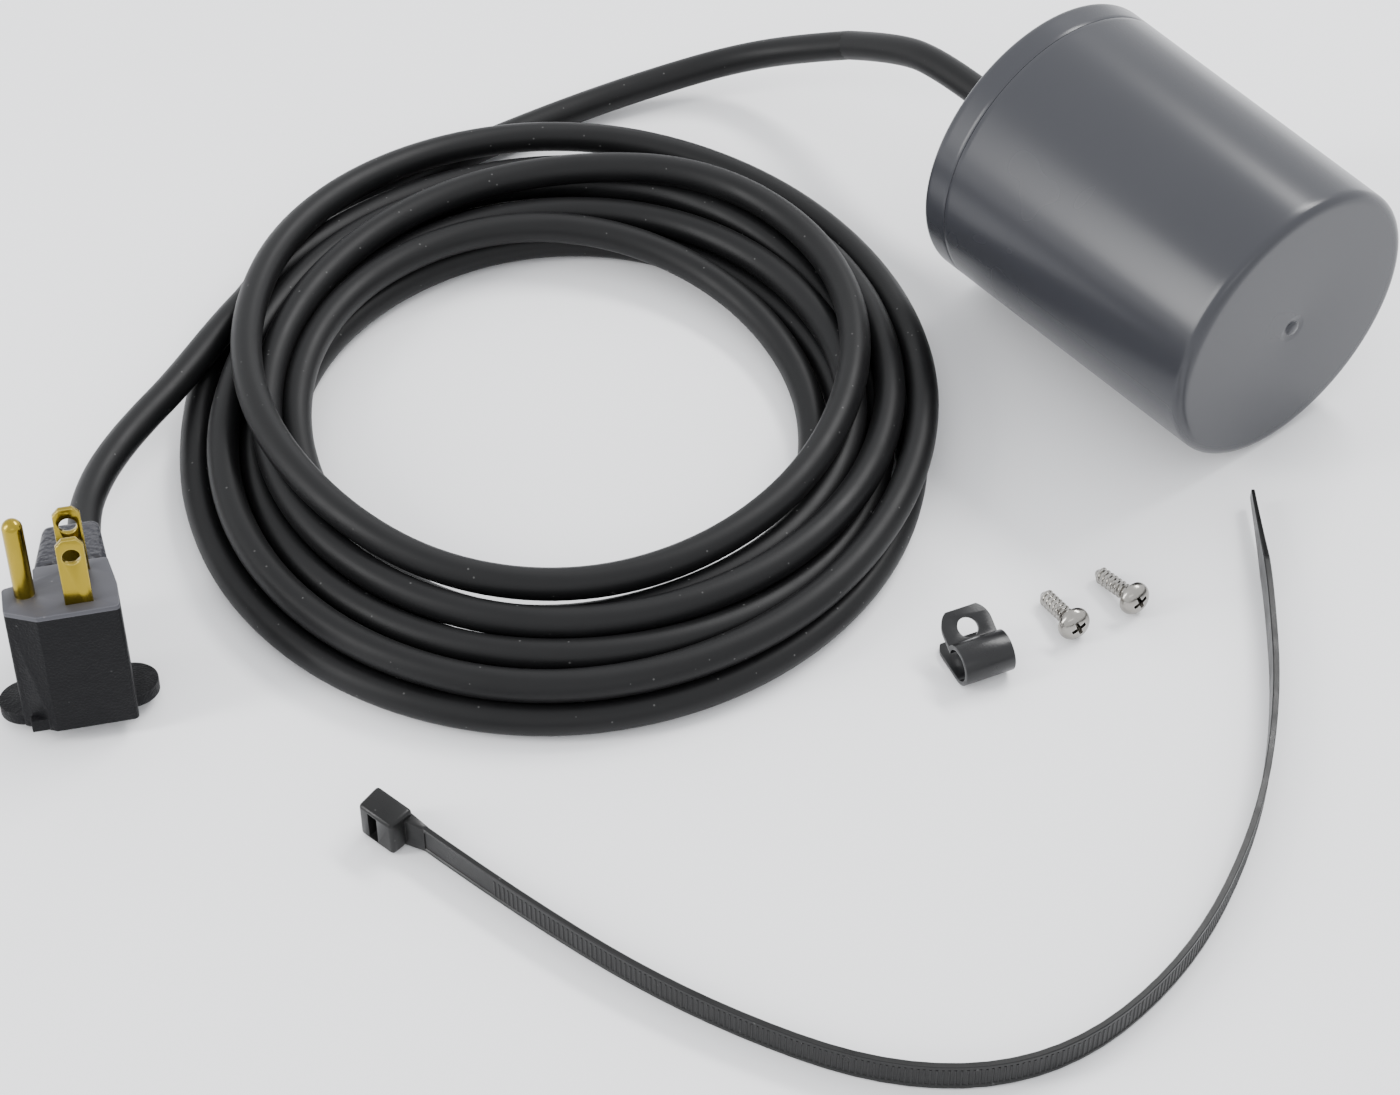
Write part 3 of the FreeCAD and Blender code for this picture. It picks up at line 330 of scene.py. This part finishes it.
def make_skin_group():
    """Clouds, grain and edge wear between 0 and 1, from a cloud scale and a grain scale."""
    tree = bpy.data.node_groups.new("skin", "ShaderNodeTree")
    for name, start in (("Cloud Scale", 30.0), ("Grain Scale", 900.0)):
        socket = tree.interface.new_socket(name, in_out="INPUT", socket_type="NodeSocketFloat")
        socket.default_value = start
    stretch = tree.interface.new_socket("Stretch", in_out="INPUT", socket_type="NodeSocketVector")
    stretch.default_value = (1, 1, 1)
    for name in ("Clouds", "Grain", "Edge", "Dust"):
        tree.interface.new_socket(name, in_out="OUTPUT", socket_type="NodeSocketFloat")
    inside, outside = tree.nodes.new("NodeGroupInput"), tree.nodes.new("NodeGroupOutput")
    link = tree.links.new
    place = add(tree, "TexCoord")
    scaled = add(tree, "VectorMath", operation="MULTIPLY")
    link(place.outputs["Object"], scaled.inputs[0])
    link(inside.outputs["Stretch"], scaled.inputs[1])
    clouds = add(tree, "TexNoise", {"Detail": 3.0, "Roughness": 0.6})
    grain = add(tree, "TexNoise", {"Detail": 2.0, "Roughness": 0.55})
    for noise, scale in ((clouds, "Cloud Scale"), (grain, "Grain Scale")):
        link(scaled.outputs[0], noise.inputs["Vector"])
        link(inside.outputs[scale], noise.inputs["Scale"])
    link(clouds.outputs["Fac"], outside.inputs["Clouds"])
    link(grain.outputs["Fac"], outside.inputs["Grain"])
    soft = add(tree, "Bevel", {"Radius": 0.0004}, samples=4)
    flat = add(tree, "NewGeometry")
    facing = add(tree, "VectorMath", operation="DOT_PRODUCT")
    link(soft.outputs["Normal"], facing.inputs[0])
    link(flat.outputs["Normal"], facing.inputs[1])
    edge = add(tree, "MapRange", {"From Min": 0.995, "From Max": 0.86, "To Min": 0.0, "To Max": 1.0})
    link(facing.outputs["Value"], edge.inputs["Value"])
    link(edge.outputs["Result"], outside.inputs["Edge"])
    specks = add(tree, "TexVoronoi", {"Scale": 260.0, "Randomness": 1.0})
    link(place.outputs["Object"], specks.inputs["Vector"])
    dust = add(tree, "MapRange", {"From Min": 0.075, "From Max": 0.05, "To Min": 0.0, "To Max": 1.0})
    link(specks.outputs["Distance"], dust.inputs["Value"])
    link(dust.outputs["Result"], outside.inputs["Dust"])
    return tree


SKIN = make_skin_group()
print("one shared group with", len(SKIN.nodes), "nodes")

# %% A finish made from the group
def finish(name, dark, light, worn, gloss, scales, relief, metallic=0.0, coat=0.0,
           stretch=(1, 1, 1), pattern=None, dusty=0.0, shine=0.4):
    """Colours are dark, light and worn; gloss is its two roughness ends; relief is in metres."""
    material = bpy.data.materials.new(name)
    material.use_nodes = True
    tree = material.node_tree
    link = tree.links.new
    shader = tree.nodes["Principled BSDF"]
    shader.inputs["Metallic"].default_value = metallic
    shader.inputs["Coat Weight"].default_value = coat
    shader.inputs["Specular IOR Level"].default_value = shine
    shader.inputs["Coat Roughness"].default_value = 0.12
    skin = add(tree, "Group", node_tree=SKIN)
    skin.inputs["Cloud Scale"].default_value = scales[0]
    skin.inputs["Grain Scale"].default_value = scales[1]
    skin.inputs["Stretch"].default_value = stretch
    body = add(tree, "MixRGB", {"Color1": (*dark, 1), "Color2": (*light, 1)})
    link(skin.outputs["Clouds"], body.inputs["Fac"])
    edges = add(tree, "MixRGB", {"Color2": (*worn, 1)})
    link(skin.outputs["Edge"], edges.inputs["Fac"])
    link(body.outputs["Color"], edges.inputs["Color1"])
    specks = add(tree, "MixRGB", {"Color2": (0.45, 0.45, 0.44, 1)})
    amount = add(tree, "Math", {1: dusty}, operation="MULTIPLY")
    link(skin.outputs["Dust"], amount.inputs[0])
    link(amount.outputs["Value"], specks.inputs["Fac"])
    link(edges.outputs["Color"], specks.inputs["Color1"])
    link(specks.outputs["Color"], shader.inputs["Base Color"])
    rough = add(tree, "MapRange", {"From Min": 0.3, "From Max": 0.7, "To Min": gloss[0],
                                   "To Max": gloss[1]})
    link(skin.outputs["Clouds"], rough.inputs["Value"])
    link(rough.outputs["Result"], shader.inputs["Roughness"])
    bump = add(tree, "Bump", {"Strength": 1.0, "Distance": relief})
    link(bump.outputs["Normal"], shader.inputs["Normal"])
    if pattern is None:
        link(skin.outputs["Grain"], bump.inputs["Height"])
    else:
        place = add(tree, "TexCoord")
        cells = add(tree, "TexVoronoi", {"Scale": pattern}, feature="SMOOTH_F1")
        link(place.outputs["Object"], cells.inputs["Vector"])
        both = add(tree, "Math", {2: 0.5}, operation="MULTIPLY_ADD")
        link(skin.outputs["Grain"], both.inputs[1])
        both.inputs[0].default_value = 0.4
        link(cells.outputs["Distance"], both.inputs[2])
        link(both.outputs["Value"], bump.inputs["Height"])
    return material


# %% The finishes
FINISHES = {
    "float_plastic": finish("float_plastic", (0.030, 0.031, 0.036), (0.034, 0.035, 0.041),
                            (0.06, 0.062, 0.07), (0.25, 0.28), (18, 1400), 0.000001, shine=0.34),
    "cord_rubber": finish("cord_rubber", (0.0035, 0.0035, 0.0038), (0.006, 0.006, 0.0064),
                          (0.011, 0.011, 0.011), (0.42, 0.52), (60, 2600), 0.00002, dusty=0.12,
                          shine=0.22),
    "potting_resin": finish("potting_resin", (0.012, 0.012, 0.012), (0.02, 0.02, 0.021),
                            (0.03, 0.03, 0.03), (0.15, 0.3), (40, 300), 0.00004, coat=0.3),
    "inner_plastic": finish("inner_plastic", (0.60, 0.59, 0.55), (0.68, 0.67, 0.63),
                            (0.75, 0.75, 0.72), (0.4, 0.55), (50, 1200), 0.00001),
    "ball_steel": finish("ball_steel", (0.55, 0.55, 0.56), (0.66, 0.66, 0.66), (0.7, 0.7, 0.7),
                         (0.08, 0.18), (90, 1800), 0.000002, metallic=1.0),
    "switch_plastic": finish("switch_plastic", (0.018, 0.018, 0.02), (0.03, 0.03, 0.031),
                             (0.06, 0.06, 0.06), (0.42, 0.55), (120, 2400), 0.00001),
    "button_plastic": finish("button_plastic", (0.40, 0.02, 0.015), (0.48, 0.03, 0.02),
                             (0.55, 0.1, 0.08), (0.3, 0.4), (200, 3000), 0.000005),
    "contact_brass": finish("contact_brass", (0.56, 0.40, 0.13), (0.70, 0.53, 0.20),
                            (0.8, 0.66, 0.3), (0.2, 0.34), (150, 1600), 0.000004, metallic=1.0),
    "lever_steel": finish("lever_steel", (0.50, 0.50, 0.50), (0.62, 0.62, 0.61), (0.7, 0.7, 0.7),
                          (0.22, 0.36), (120, 1500), 0.000004, metallic=1.0, stretch=(1, 1, 6)),
    "screw_steel": finish("screw_steel", (0.24, 0.23, 0.21), (0.36, 0.345, 0.32),
                          (0.52, 0.51, 0.49), (0.16, 0.30), (260, 2200), 0.000008, metallic=1.0),
    "lead_insulation": finish("lead_insulation", (0.62, 0.62, 0.60), (0.72, 0.72, 0.70),
                              (0.8, 0.8, 0.78), (0.35, 0.45), (80, 1500), 0.000005),
    "plug_black": finish("plug_black", (0.003, 0.003, 0.0036), (0.006, 0.006, 0.007),
                         (0.014, 0.014, 0.015), (0.46, 0.60), (380, 1700), 0.00026, dusty=0.06,
                         shine=0.13),
    "plug_leather": finish("plug_leather", (0.012, 0.012, 0.016), (0.026, 0.026, 0.034),
                           (0.04, 0.04, 0.05), (0.34, 0.48), (300, 1500), 0.0007, pattern=760,
                           shine=0.34),
    "plug_grey": finish("plug_grey", (0.040, 0.040, 0.048), (0.058, 0.058, 0.068),
                        (0.12, 0.12, 0.135), (0.38, 0.5), (120, 2600), 0.000012, dusty=0.15),
    "blade_brass": finish("blade_brass", (0.22, 0.158, 0.016), (0.36, 0.27, 0.036),
                          (0.66, 0.55, 0.18), (0.16, 0.32), (190, 900), 0.00001, metallic=1.0,
                          stretch=(1, 1, 0.35)),
    "clamp_nylon": finish("clamp_nylon", (0.0045, 0.0045, 0.005), (0.009, 0.009, 0.0098),
                          (0.022, 0.022, 0.022), (0.24, 0.38), (110, 1900), 0.00002, shine=0.35),
    "tie_nylon": finish("tie_nylon", (0.0045, 0.0045, 0.0045), (0.008, 0.008, 0.008),
                        (0.019, 0.019, 0.019), (0.26, 0.40), (140, 1900), 0.00002, dusty=0.1,
                        shine=0.25),
}
print(len(FINISHES), "finishes")

# %% Paper for the floor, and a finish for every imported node
paper = finish("floor_paper", (0.90, 0.90, 0.91), (0.93, 0.93, 0.94), (0.93, 0.93, 0.94),
               (0.5, 0.62), (6, 700), 0.00002)
floor.data.materials.append(paper)
for node, item in frame["nodes"].items():
    target = item if isinstance(item, bpy.types.Object) else bpy.data.objects[node]
    for place in target.material_slots:
        place.material = FINISHES[slot_of[node]]
print("every packed node has its finish")

# %% [markdown]
# ## Tools for the hard parts
#
# Round parts are turned like on a lathe: half of the section, spun about Z. Flat-sided parts keep
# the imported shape, but a mould never leaves a razor edge, so a merged copy gets small bevels that
# catch the light. Each tool works in millimetres, and the piece is moved into place at the end.

# %% Placements on the float, the plug and the screws
def placement(origin, across, along):
    """A frame whose Z runs along one direction and whose X runs across it."""
    z = Vector(along).normalized()
    x = Vector(across).normalized()
    matrix = Matrix((x, z.cross(x), z)).transposed().to_4x4()
    matrix.translation = origin
    return matrix


GLAND_LENGTH = 0.018
float_along = Vector(joints["ball_roll"]["axis"])
float_across = -Vector(joints["float_swing"]["axis"])
FLOAT_PLACE = placement(GLAND_TIP + float_along * GLAND_LENGTH, float_across, float_along)
print("the float's cap is at", [round(value, 4) for value in FLOAT_PLACE.translation])

# %% A lathe, a bevel and a way to hand a piece in
MILLIMETRE = 0.001


def turned(profile, steps=128, closed=False):
    """A solid of revolution about Z from half of its section, in millimetres."""
    made = bmesh.new()
    spots = [made.verts.new((radius, 0, height)) for radius, height in profile]
    for before, after in zip(spots, spots[1:] + spots[:1] if closed else spots[1:]):
        made.edges.new((before, after))
    bmesh.ops.spin(made, geom=made.verts[:] + made.edges[:], cent=(0, 0, 0), axis=(0, 0, 1),
                   angle=2 * math.pi, steps=steps, use_merge=True)
    bmesh.ops.remove_doubles(made, verts=made.verts, dist=0.0005)
    loose = [edge for edge in made.edges if not edge.link_faces]
    bmesh.ops.delete(made, geom=loose, context="EDGES")
    bmesh.ops.recalc_face_normals(made, faces=made.faces)
    return made


def soften(made, edges, width, segments=3):
    """Round some edges over a width."""
    bmesh.ops.bevel(made, geom=list(edges), affect="EDGES", offset=width, offset_type="OFFSET",
                    segments=segments, profile=0.5, material=-1, clamp_overlap=True)


def ring(made, radius, height, slack=0.02):
    """The edges of one turned ring."""
    def there(vertex):
        return (abs(vertex.co.xy.length - radius) < slack and abs(vertex.co.z - height) < slack)
    return [edge for edge in made.edges if all(there(vertex) for vertex in edge.verts)]


def sharp(made, angle=30):
    """The edges that bend by more than an angle."""
    return [edge for edge in made.edges if len(edge.link_faces) == 2
            and edge.calc_face_angle(0) > math.radians(angle)]


def hand_in(name, made, body, slot, *nodes, place, look=None, angle=38):
    """Put a finished mesh in its place, give it its finish, and let it ride on its body."""
    bmesh.ops.transform(made, matrix=place @ Matrix.Scale(MILLIMETRE, 4), verts=made.verts)
    bmesh.ops.recalc_face_normals(made, faces=made.faces)
    data = bpy.data.meshes.new(name)
    made.to_mesh(data)
    made.free()
    data.shade_smooth()
    data.set_sharp_from_angle(angle=math.radians(angle))
    data.materials.append(FINISHES[look or slot])
    item = bpy.data.objects.new(name, data)
    bpy.context.collection.objects.link(item)
    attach(item, body)
    if nodes:
        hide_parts(*nodes)
    return item


for cord in (main_cord, tether):
    cord.data.materials.clear()
    cord.data.materials.append(FINISHES["cord_rubber"])
print("tools ready")

# %% [markdown]
# ## The float
#
# The float is two mouldings of the same grey plastic: a deep shell, and a cap that plugs into it.
# A fine groove marks the joint, and the closed end has the little nub that the mould's gate leaves.
# A boolean could cut the groove, but two bevels that meet at the seam are what the real one has.

# %% Shell
CAP_RADIUS, CLOSED_RADIUS, FLOAT_LENGTH, CAP_THICK = 39.4, 37.7, 91.0, 7.8


def drafted(height):
    """The float's outside narrows a little toward its closed end."""
    return CAP_RADIUS - (CAP_RADIUS - CLOSED_RADIUS) * height / FLOAT_LENGTH


shell = turned([(0, 91.5), (1.3, 91.45), (1.7, 91.25), (2.0, 90.8), (2.5, 90.75), (3.4, 90.96),
                (4.2, 91.0), (34.2, 91.0), (CLOSED_RADIUS, 91.0), (drafted(87.2), 87.2),
                (drafted(9.2), 9.2), (drafted(CAP_THICK), CAP_THICK), (36.6, CAP_THICK), (35.1, 88),
                (0, 88)], steps=160)
soften(shell, ring(shell, CLOSED_RADIUS, 91.0), 2.6, 8)
soften(shell, ring(shell, drafted(CAP_THICK), CAP_THICK), 0.3, 2)
shell_skin = hand_in("float_shell_skin", shell, "float", "float_plastic", "float_shell",
                     place=FLOAT_PLACE)
print("shell", len(shell_skin.data.polygons), "faces")

# %% Cap
cap = turned([(7.0, 3.2), (7.0, 0.6), (11.0, 0.6), (12.2, 0.0), (13.6, 0.0), (14.6, 0.9),
              (33.4, 0.9), (34.4, 0.0), (36.6, 0.0), (CAP_RADIUS, 0.0), (drafted(2.6), 2.6),
              (drafted(6.6), 6.6), (drafted(CAP_THICK), CAP_THICK), (36.5, CAP_THICK), (36.4, 16.8),
              (34.0, 16.8), (34.0, 3.2)], steps=160, closed=True)
soften(cap, ring(cap, CAP_RADIUS, 0.0), 1.7, 6)
soften(cap, ring(cap, drafted(CAP_THICK), CAP_THICK), 0.3, 2)
hand_in("float_cap_skin", cap, "float", "float_plastic", "float_cap", place=FLOAT_PLACE)

# %% Ribs on the cap's hidden face
ribs = bmesh.new()
for turn in range(8):
    rib = bmesh.ops.create_cube(ribs, size=1)["verts"]
    bmesh.ops.scale(ribs, vec=(19.4, 1.5, 1.0), verts=rib)
    bmesh.ops.translate(ribs, vec=(23.9, 0, 0.7), verts=rib)
    bmesh.ops.rotate(ribs, cent=(0, 0, 0), matrix=Matrix.Rotation(math.tau * turn / 8, 3, "Z"),
                     verts=rib)
soften(ribs, sharp(ribs), 0.3, 2)
hand_in("float_cap_ribs", ribs, "float", "float_plastic", place=FLOAT_PLACE)
print("cap and ribs done")

# %% Gland, with rings that let it flex
rings = []
for step in range(6):
    low = -17.2 + step * 2.8
    thick = 5.7 + (low + 18) / 18 * 3.3
    rings += [(thick, low), (thick + 0.2, low + 1.5), (thick - 0.9, low + 1.7),
              (thick - 0.8, low + 2.6)]
gland = turned([(4.0, -18), (5.5, -18)] + rings + [(9.0, -0.4), (9.0, 0.6), (7.0, 0.6), (7.0, 3.2),
               (9.5, 3.2), (9.5, 5.2), (4.0, 5.2)], steps=64, closed=True)
soften(gland, sharp(gland, 40), 0.18, 2)
hand_in("cord_gland_skin", gland, "float", "cord_rubber", "cord_gland", place=FLOAT_PLACE)
print("gland done")

# %% [markdown]
# ## The plug
#
# The piggyback plug is a tall block: a smooth grey face with the blades on top, a stippled black
# body with finger ears at its foot, a leather-grained relief behind, and an outlet underneath.
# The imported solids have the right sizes, so merged copies of them get moulded edges.

# %% Merged copies with moulded edges
def moulded(node, body, width, segments=2, look=None, angle=30):
    """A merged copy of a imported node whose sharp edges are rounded."""
    made = bmesh.new()
    made.from_mesh(bpy.data.objects[node].data)
    bmesh.ops.scale(made, vec=(1000, 1000, 1000), verts=made.verts)
    bmesh.ops.remove_doubles(made, verts=made.verts, dist=0.002)
    bmesh.ops.dissolve_limit(made, angle_limit=math.radians(0.5), verts=made.verts,
                             edges=made.edges)
    soften(made, sharp(made, angle), width, segments)
    return hand_in(node + "_skin", made, body, slot_of[node], node, place=Matrix.Identity(4),
                   look=look)


for node, width, segments, look in (
        ("plug_body", 0.45, 3, None), ("plug_face", 0.3, 2, None),
        ("strain_relief", 1.8, 4, "plug_leather"), ("line_blade", 0.18, 2, None),
        ("neutral_blade", 0.18, 2, None), ("outlet_face", 0.2, 2, None)):
    skin = moulded(node, "cord_set", width, segments, look)
    print(skin.name, len(skin.data.polygons), "faces")
moulded("cord_clamp", "clamp", 0.22, 2)

# %% [markdown]
# ## The mounting screws
#
# Each screw is a number 8 tapping screw with a pan head. Its thread is one ridge wound round the
# shank: a small section that turns about the axis and climbs at the same time. Rings would be
# simpler, but a ring thread shows at once. The cross recess is cut with a tapered tool.

# %% A cutting tool for hard shapes
def carve(made, tool):
    """Cut one mesh out of another."""
    items = []
    for name, shape in (("carved", made), ("tool", tool)):
        data = bpy.data.meshes.new(name)
        shape.to_mesh(data)
        shape.free()
        items.append(bpy.data.objects.new(name, data))
        bpy.context.collection.objects.link(items[-1])
    step = items[0].modifiers.new("cut", "BOOLEAN")
    step.object, step.solver = items[1], "EXACT"
    bpy.context.view_layer.update()
    cut = shown_mesh(items[0])
    result = bmesh.new()
    result.from_mesh(cut)
    for item in items:
        bpy.data.objects.remove(item)
    bpy.data.meshes.remove(cut)
    return result


def block(made, low, high):
    """A box between two corners."""
    verts = bmesh.ops.create_cube(made, size=1)["verts"]
    bmesh.ops.scale(made, vec=[top - bottom for bottom, top in zip(low, high)], verts=verts)
    bmesh.ops.translate(made, vec=[(top + bottom) / 2 for bottom, top in zip(low, high)],
                        verts=verts)
    return verts


# %% One screw
SCREW_LENGTH, HEAD_RADIUS, SHANK_RADIUS, ROOT_RADIUS = 12.7, 4.1, 2.1, 1.62
THREAD_PITCH, THREAD_TURNS, THREAD_STEPS = 1.41, 7.6, 28


def make_screw():
    """Point, shank and pan head, with the thread wound on and the recess cut in."""
    body = turned([(0, 0), (0.75, 0), (1.15, 0.5), (ROOT_RADIUS, 1.5), (ROOT_RADIUS, SCREW_LENGTH),
                   (HEAD_RADIUS, SCREW_LENGTH), (HEAD_RADIUS, 13.5), (4.02, 13.95), (3.75, 14.5),
                   (3.3, 14.98), (2.6, 15.4), (1.7, 15.68), (0.8, 15.79), (0, 15.8)], steps=56)
    soften(body, ring(body, HEAD_RADIUS, SCREW_LENGTH), 0.25, 3)
    for turn in (0, 90):
        recess = bmesh.new()
        arm = block(recess, (-2.45, -0.62, 13.7), (2.45, 0.62, 17.0))
        foot = [vertex for vertex in arm if vertex.co.z < 15]
        bmesh.ops.scale(recess, vec=(0.55, 0.55, 1), verts=foot)
        bmesh.ops.rotate(recess, cent=(0, 0, 0), verts=arm,
                         matrix=Matrix.Rotation(math.radians(turn + 20), 3, "Z"))
        body = carve(body, recess)
    thread = [(1.5, 0.75), (SHANK_RADIUS - 0.05, 1.12), (SHANK_RADIUS, 1.2), (1.5, 1.62)]
    spots = [body.verts.new((radius, 0, height)) for radius, height in thread]
    edges = [body.edges.new(pair) for pair in zip(spots, spots[1:] + spots[:1])]
    bmesh.ops.spin(body, geom=spots + edges, cent=(0, 0, 0), axis=(0, 0, 1),
                   dvec=(0, 0, THREAD_PITCH / THREAD_STEPS), angle=math.tau * THREAD_TURNS,
                   steps=round(THREAD_STEPS * THREAD_TURNS), use_merge=False)
    bmesh.ops.holes_fill(body, edges=[edge for edge in body.edges if edge.is_boundary])
    return body


SCREWS = {"screw_1": (0.0388, -0.0163, -61.8), "screw_2": (0.0537, -0.0082, -54.4)}
SCREW_FALL = math.radians(10.155)
for name, (x, y, yaw) in SCREWS.items():
    yaw = math.radians(yaw)
    axis = Vector((math.cos(yaw) * math.cos(SCREW_FALL), math.sin(yaw) * math.cos(SCREW_FALL),
                   math.sin(SCREW_FALL)))
    start = Vector((x, y, HEAD_RADIUS * math.cos(SCREW_FALL) / 1000)) - axis * SCREW_LENGTH / 1000
    screw = hand_in(name + "_skin", make_screw(), name, "screw_steel", name,
                    place=placement(start, Vector((0, 0, 1)).cross(axis), axis), angle=40)
    print(screw.name, len(screw.data.polygons), "faces")

# %% [markdown]
# ## The cable tie
#
# The tie stands on its edge, bent into a wide curve. Its strap has a shallow channel with fine teeth
# across it, and it narrows to a thin tip. The strap could be a bevelled curve, but that can't change
# its section along the way, so one section is extruded from place to place instead.

# %% Strap
TIE_ROUTE = [(-0.1135, -0.0785), (-0.0840, -0.1040), (-0.0480, -0.1290), (-0.0080, -0.1465),
             (0.0270, -0.1430), (0.0560, -0.1170), (0.0750, -0.0800), (0.0840, -0.0430),
             (0.0865, -0.0070), (0.0864, 0.0120), (0.0863, 0.0272)]
TIE_WIDTH = 7.6
TIE_SECTION = [(-0.75, 0.3), (-0.75, 7.3), (-0.5, 7.6), (0.55, 7.6), (0.75, 7.4), (0.75, 6.7),
               (0.5, 6.5), (0.5, 1.1), (0.75, 0.9), (0.75, 0.2), (0.55, 0), (-0.5, 0)]
TIP_LENGTH, STATION_GAP, END_GAP = 24.0, 1.6, 0.5
TIP_THINNING, TIP_NARROWING = 0.965, 0.943

tie_curve = smooth_curve("tie_line", [(x, y, 0) for x, y in TIE_ROUTE], 0.001)
tie_line = np.array([spot[:] for spot in line_of(tie_curve)]) * 1000
bpy.data.objects.remove(tie_curve)
tie_steps = np.concatenate([[0], np.cumsum(np.linalg.norm(np.diff(tie_line, axis=0), axis=1))])
TIE_LENGTH = float(tie_steps[-1])


def station(along):
    """The frame of the strap at a distance: X is its outer side, Y is along it and Z is up."""
    spots = [np.array([np.interp(along + shift, tie_steps, column) for column in tie_line.T])
             for shift in (-0.5, 0, 0.5)]
    way = Vector(spots[2] - spots[0]).normalized()
    return placement(Vector(spots[1]), way.cross(Vector((0, 0, 1))), (0, 0, 1))


strap = bmesh.new()
first = station(END_GAP)
loop = [strap.verts.new(first @ Vector((side, 0, up))) for side, up in TIE_SECTION]
face = strap.faces.new(loop)
edges, before = list(face.edges), first
for along in np.append(np.arange(END_GAP + STATION_GAP, TIE_LENGTH - END_GAP, STATION_GAP),
                       TIE_LENGTH - END_GAP):
    after = station(along)
    moved = bmesh.ops.extrude_edge_only(strap, edges=edges)["geom"]
    verts = [part for part in moved if isinstance(part, bmesh.types.BMVert)]
    edges = [part for part in moved if isinstance(part, bmesh.types.BMEdge)]
    bmesh.ops.transform(strap, matrix=after @ before.inverted(), verts=verts)
    if along > TIE_LENGTH - TIP_LENGTH:
        bmesh.ops.scale(strap, vec=(TIP_THINNING, 1, TIP_NARROWING), verts=verts,
                        space=(after @ Matrix.Translation((0, 0, TIE_WIDTH / 2))).inverted())
    before = after
bmesh.ops.holes_fill(strap, edges=[edge for edge in strap.edges if edge.is_boundary])
print("strap", round(TIE_LENGTH, 1), "mm long,", len(strap.faces), "faces")

# %% Teeth
TEETH_START, TEETH_END, TOOTH_PITCH = 26, 46, 1.3

for along in np.arange(TEETH_START, TIE_LENGTH - TEETH_END, TOOTH_PITCH):
    tooth = block(strap, (0.44, -0.42, 1.3), (0.72, 0.42, 6.3))
    crest = [vertex for vertex in tooth if vertex.co.x > 0.6]
    bmesh.ops.scale(strap, vec=(1, 0.25, 1), verts=crest)
    bmesh.ops.transform(strap, matrix=station(along), verts=tooth)
tie_strap = hand_in("tie_strap", strap, "tie", "tie_nylon", "cable_tie",
                    place=Matrix.Identity(4), angle=32)
print("strap with teeth", len(tie_strap.data.polygons), "faces")

# %% Head
head_back = Vector((*TIE_ROUTE[0], 0)) - Vector((*TIE_ROUTE[1], 0))
HEAD_PLACE = placement(Vector((*TIE_ROUTE[0], 0)), head_back, (0, 0, 1))
head = bmesh.new()
block(head, (-0.5, -0.75, 0.0), (10.5, 6.25, 10.0))
lifted = [vertex for vertex in head.verts if vertex.co.x > 5 and vertex.co.y > 5]
bmesh.ops.translate(head, vec=(-0.7, 0, 0), verts=lifted)
soften(head, sharp(head), 1.0, 4)
slot_tool = bmesh.new()
block(slot_tool, (4.2, -3.0, 1.0), (6.9, 9.0, 9.0))
soften(slot_tool, sharp(slot_tool), 0.3, 2)
head = carve(head, slot_tool)
block(head, (4.1, 0.4, 2.2), (5.3, 5.2, 7.8))
neck = block(head, (-5.0, -0.75, 0.15), (0.6, 2.4, 8.4))
thin = [vertex for vertex in neck if vertex.co.x < -4]
for vertex in thin:
    vertex.co.y = max(-0.75, min(vertex.co.y, 0.7))
    vertex.co.z = min(vertex.co.z, 7.5)
soften(head, sharp(head, 50), 0.12, 2)
tie_head = hand_in("tie_head", head, "tie", "tie_nylon", place=HEAD_PLACE, angle=32)
print("head", len(tie_head.data.polygons), "faces")

# %% Bring the view layer up to date
bpy.context.view_layer.update()
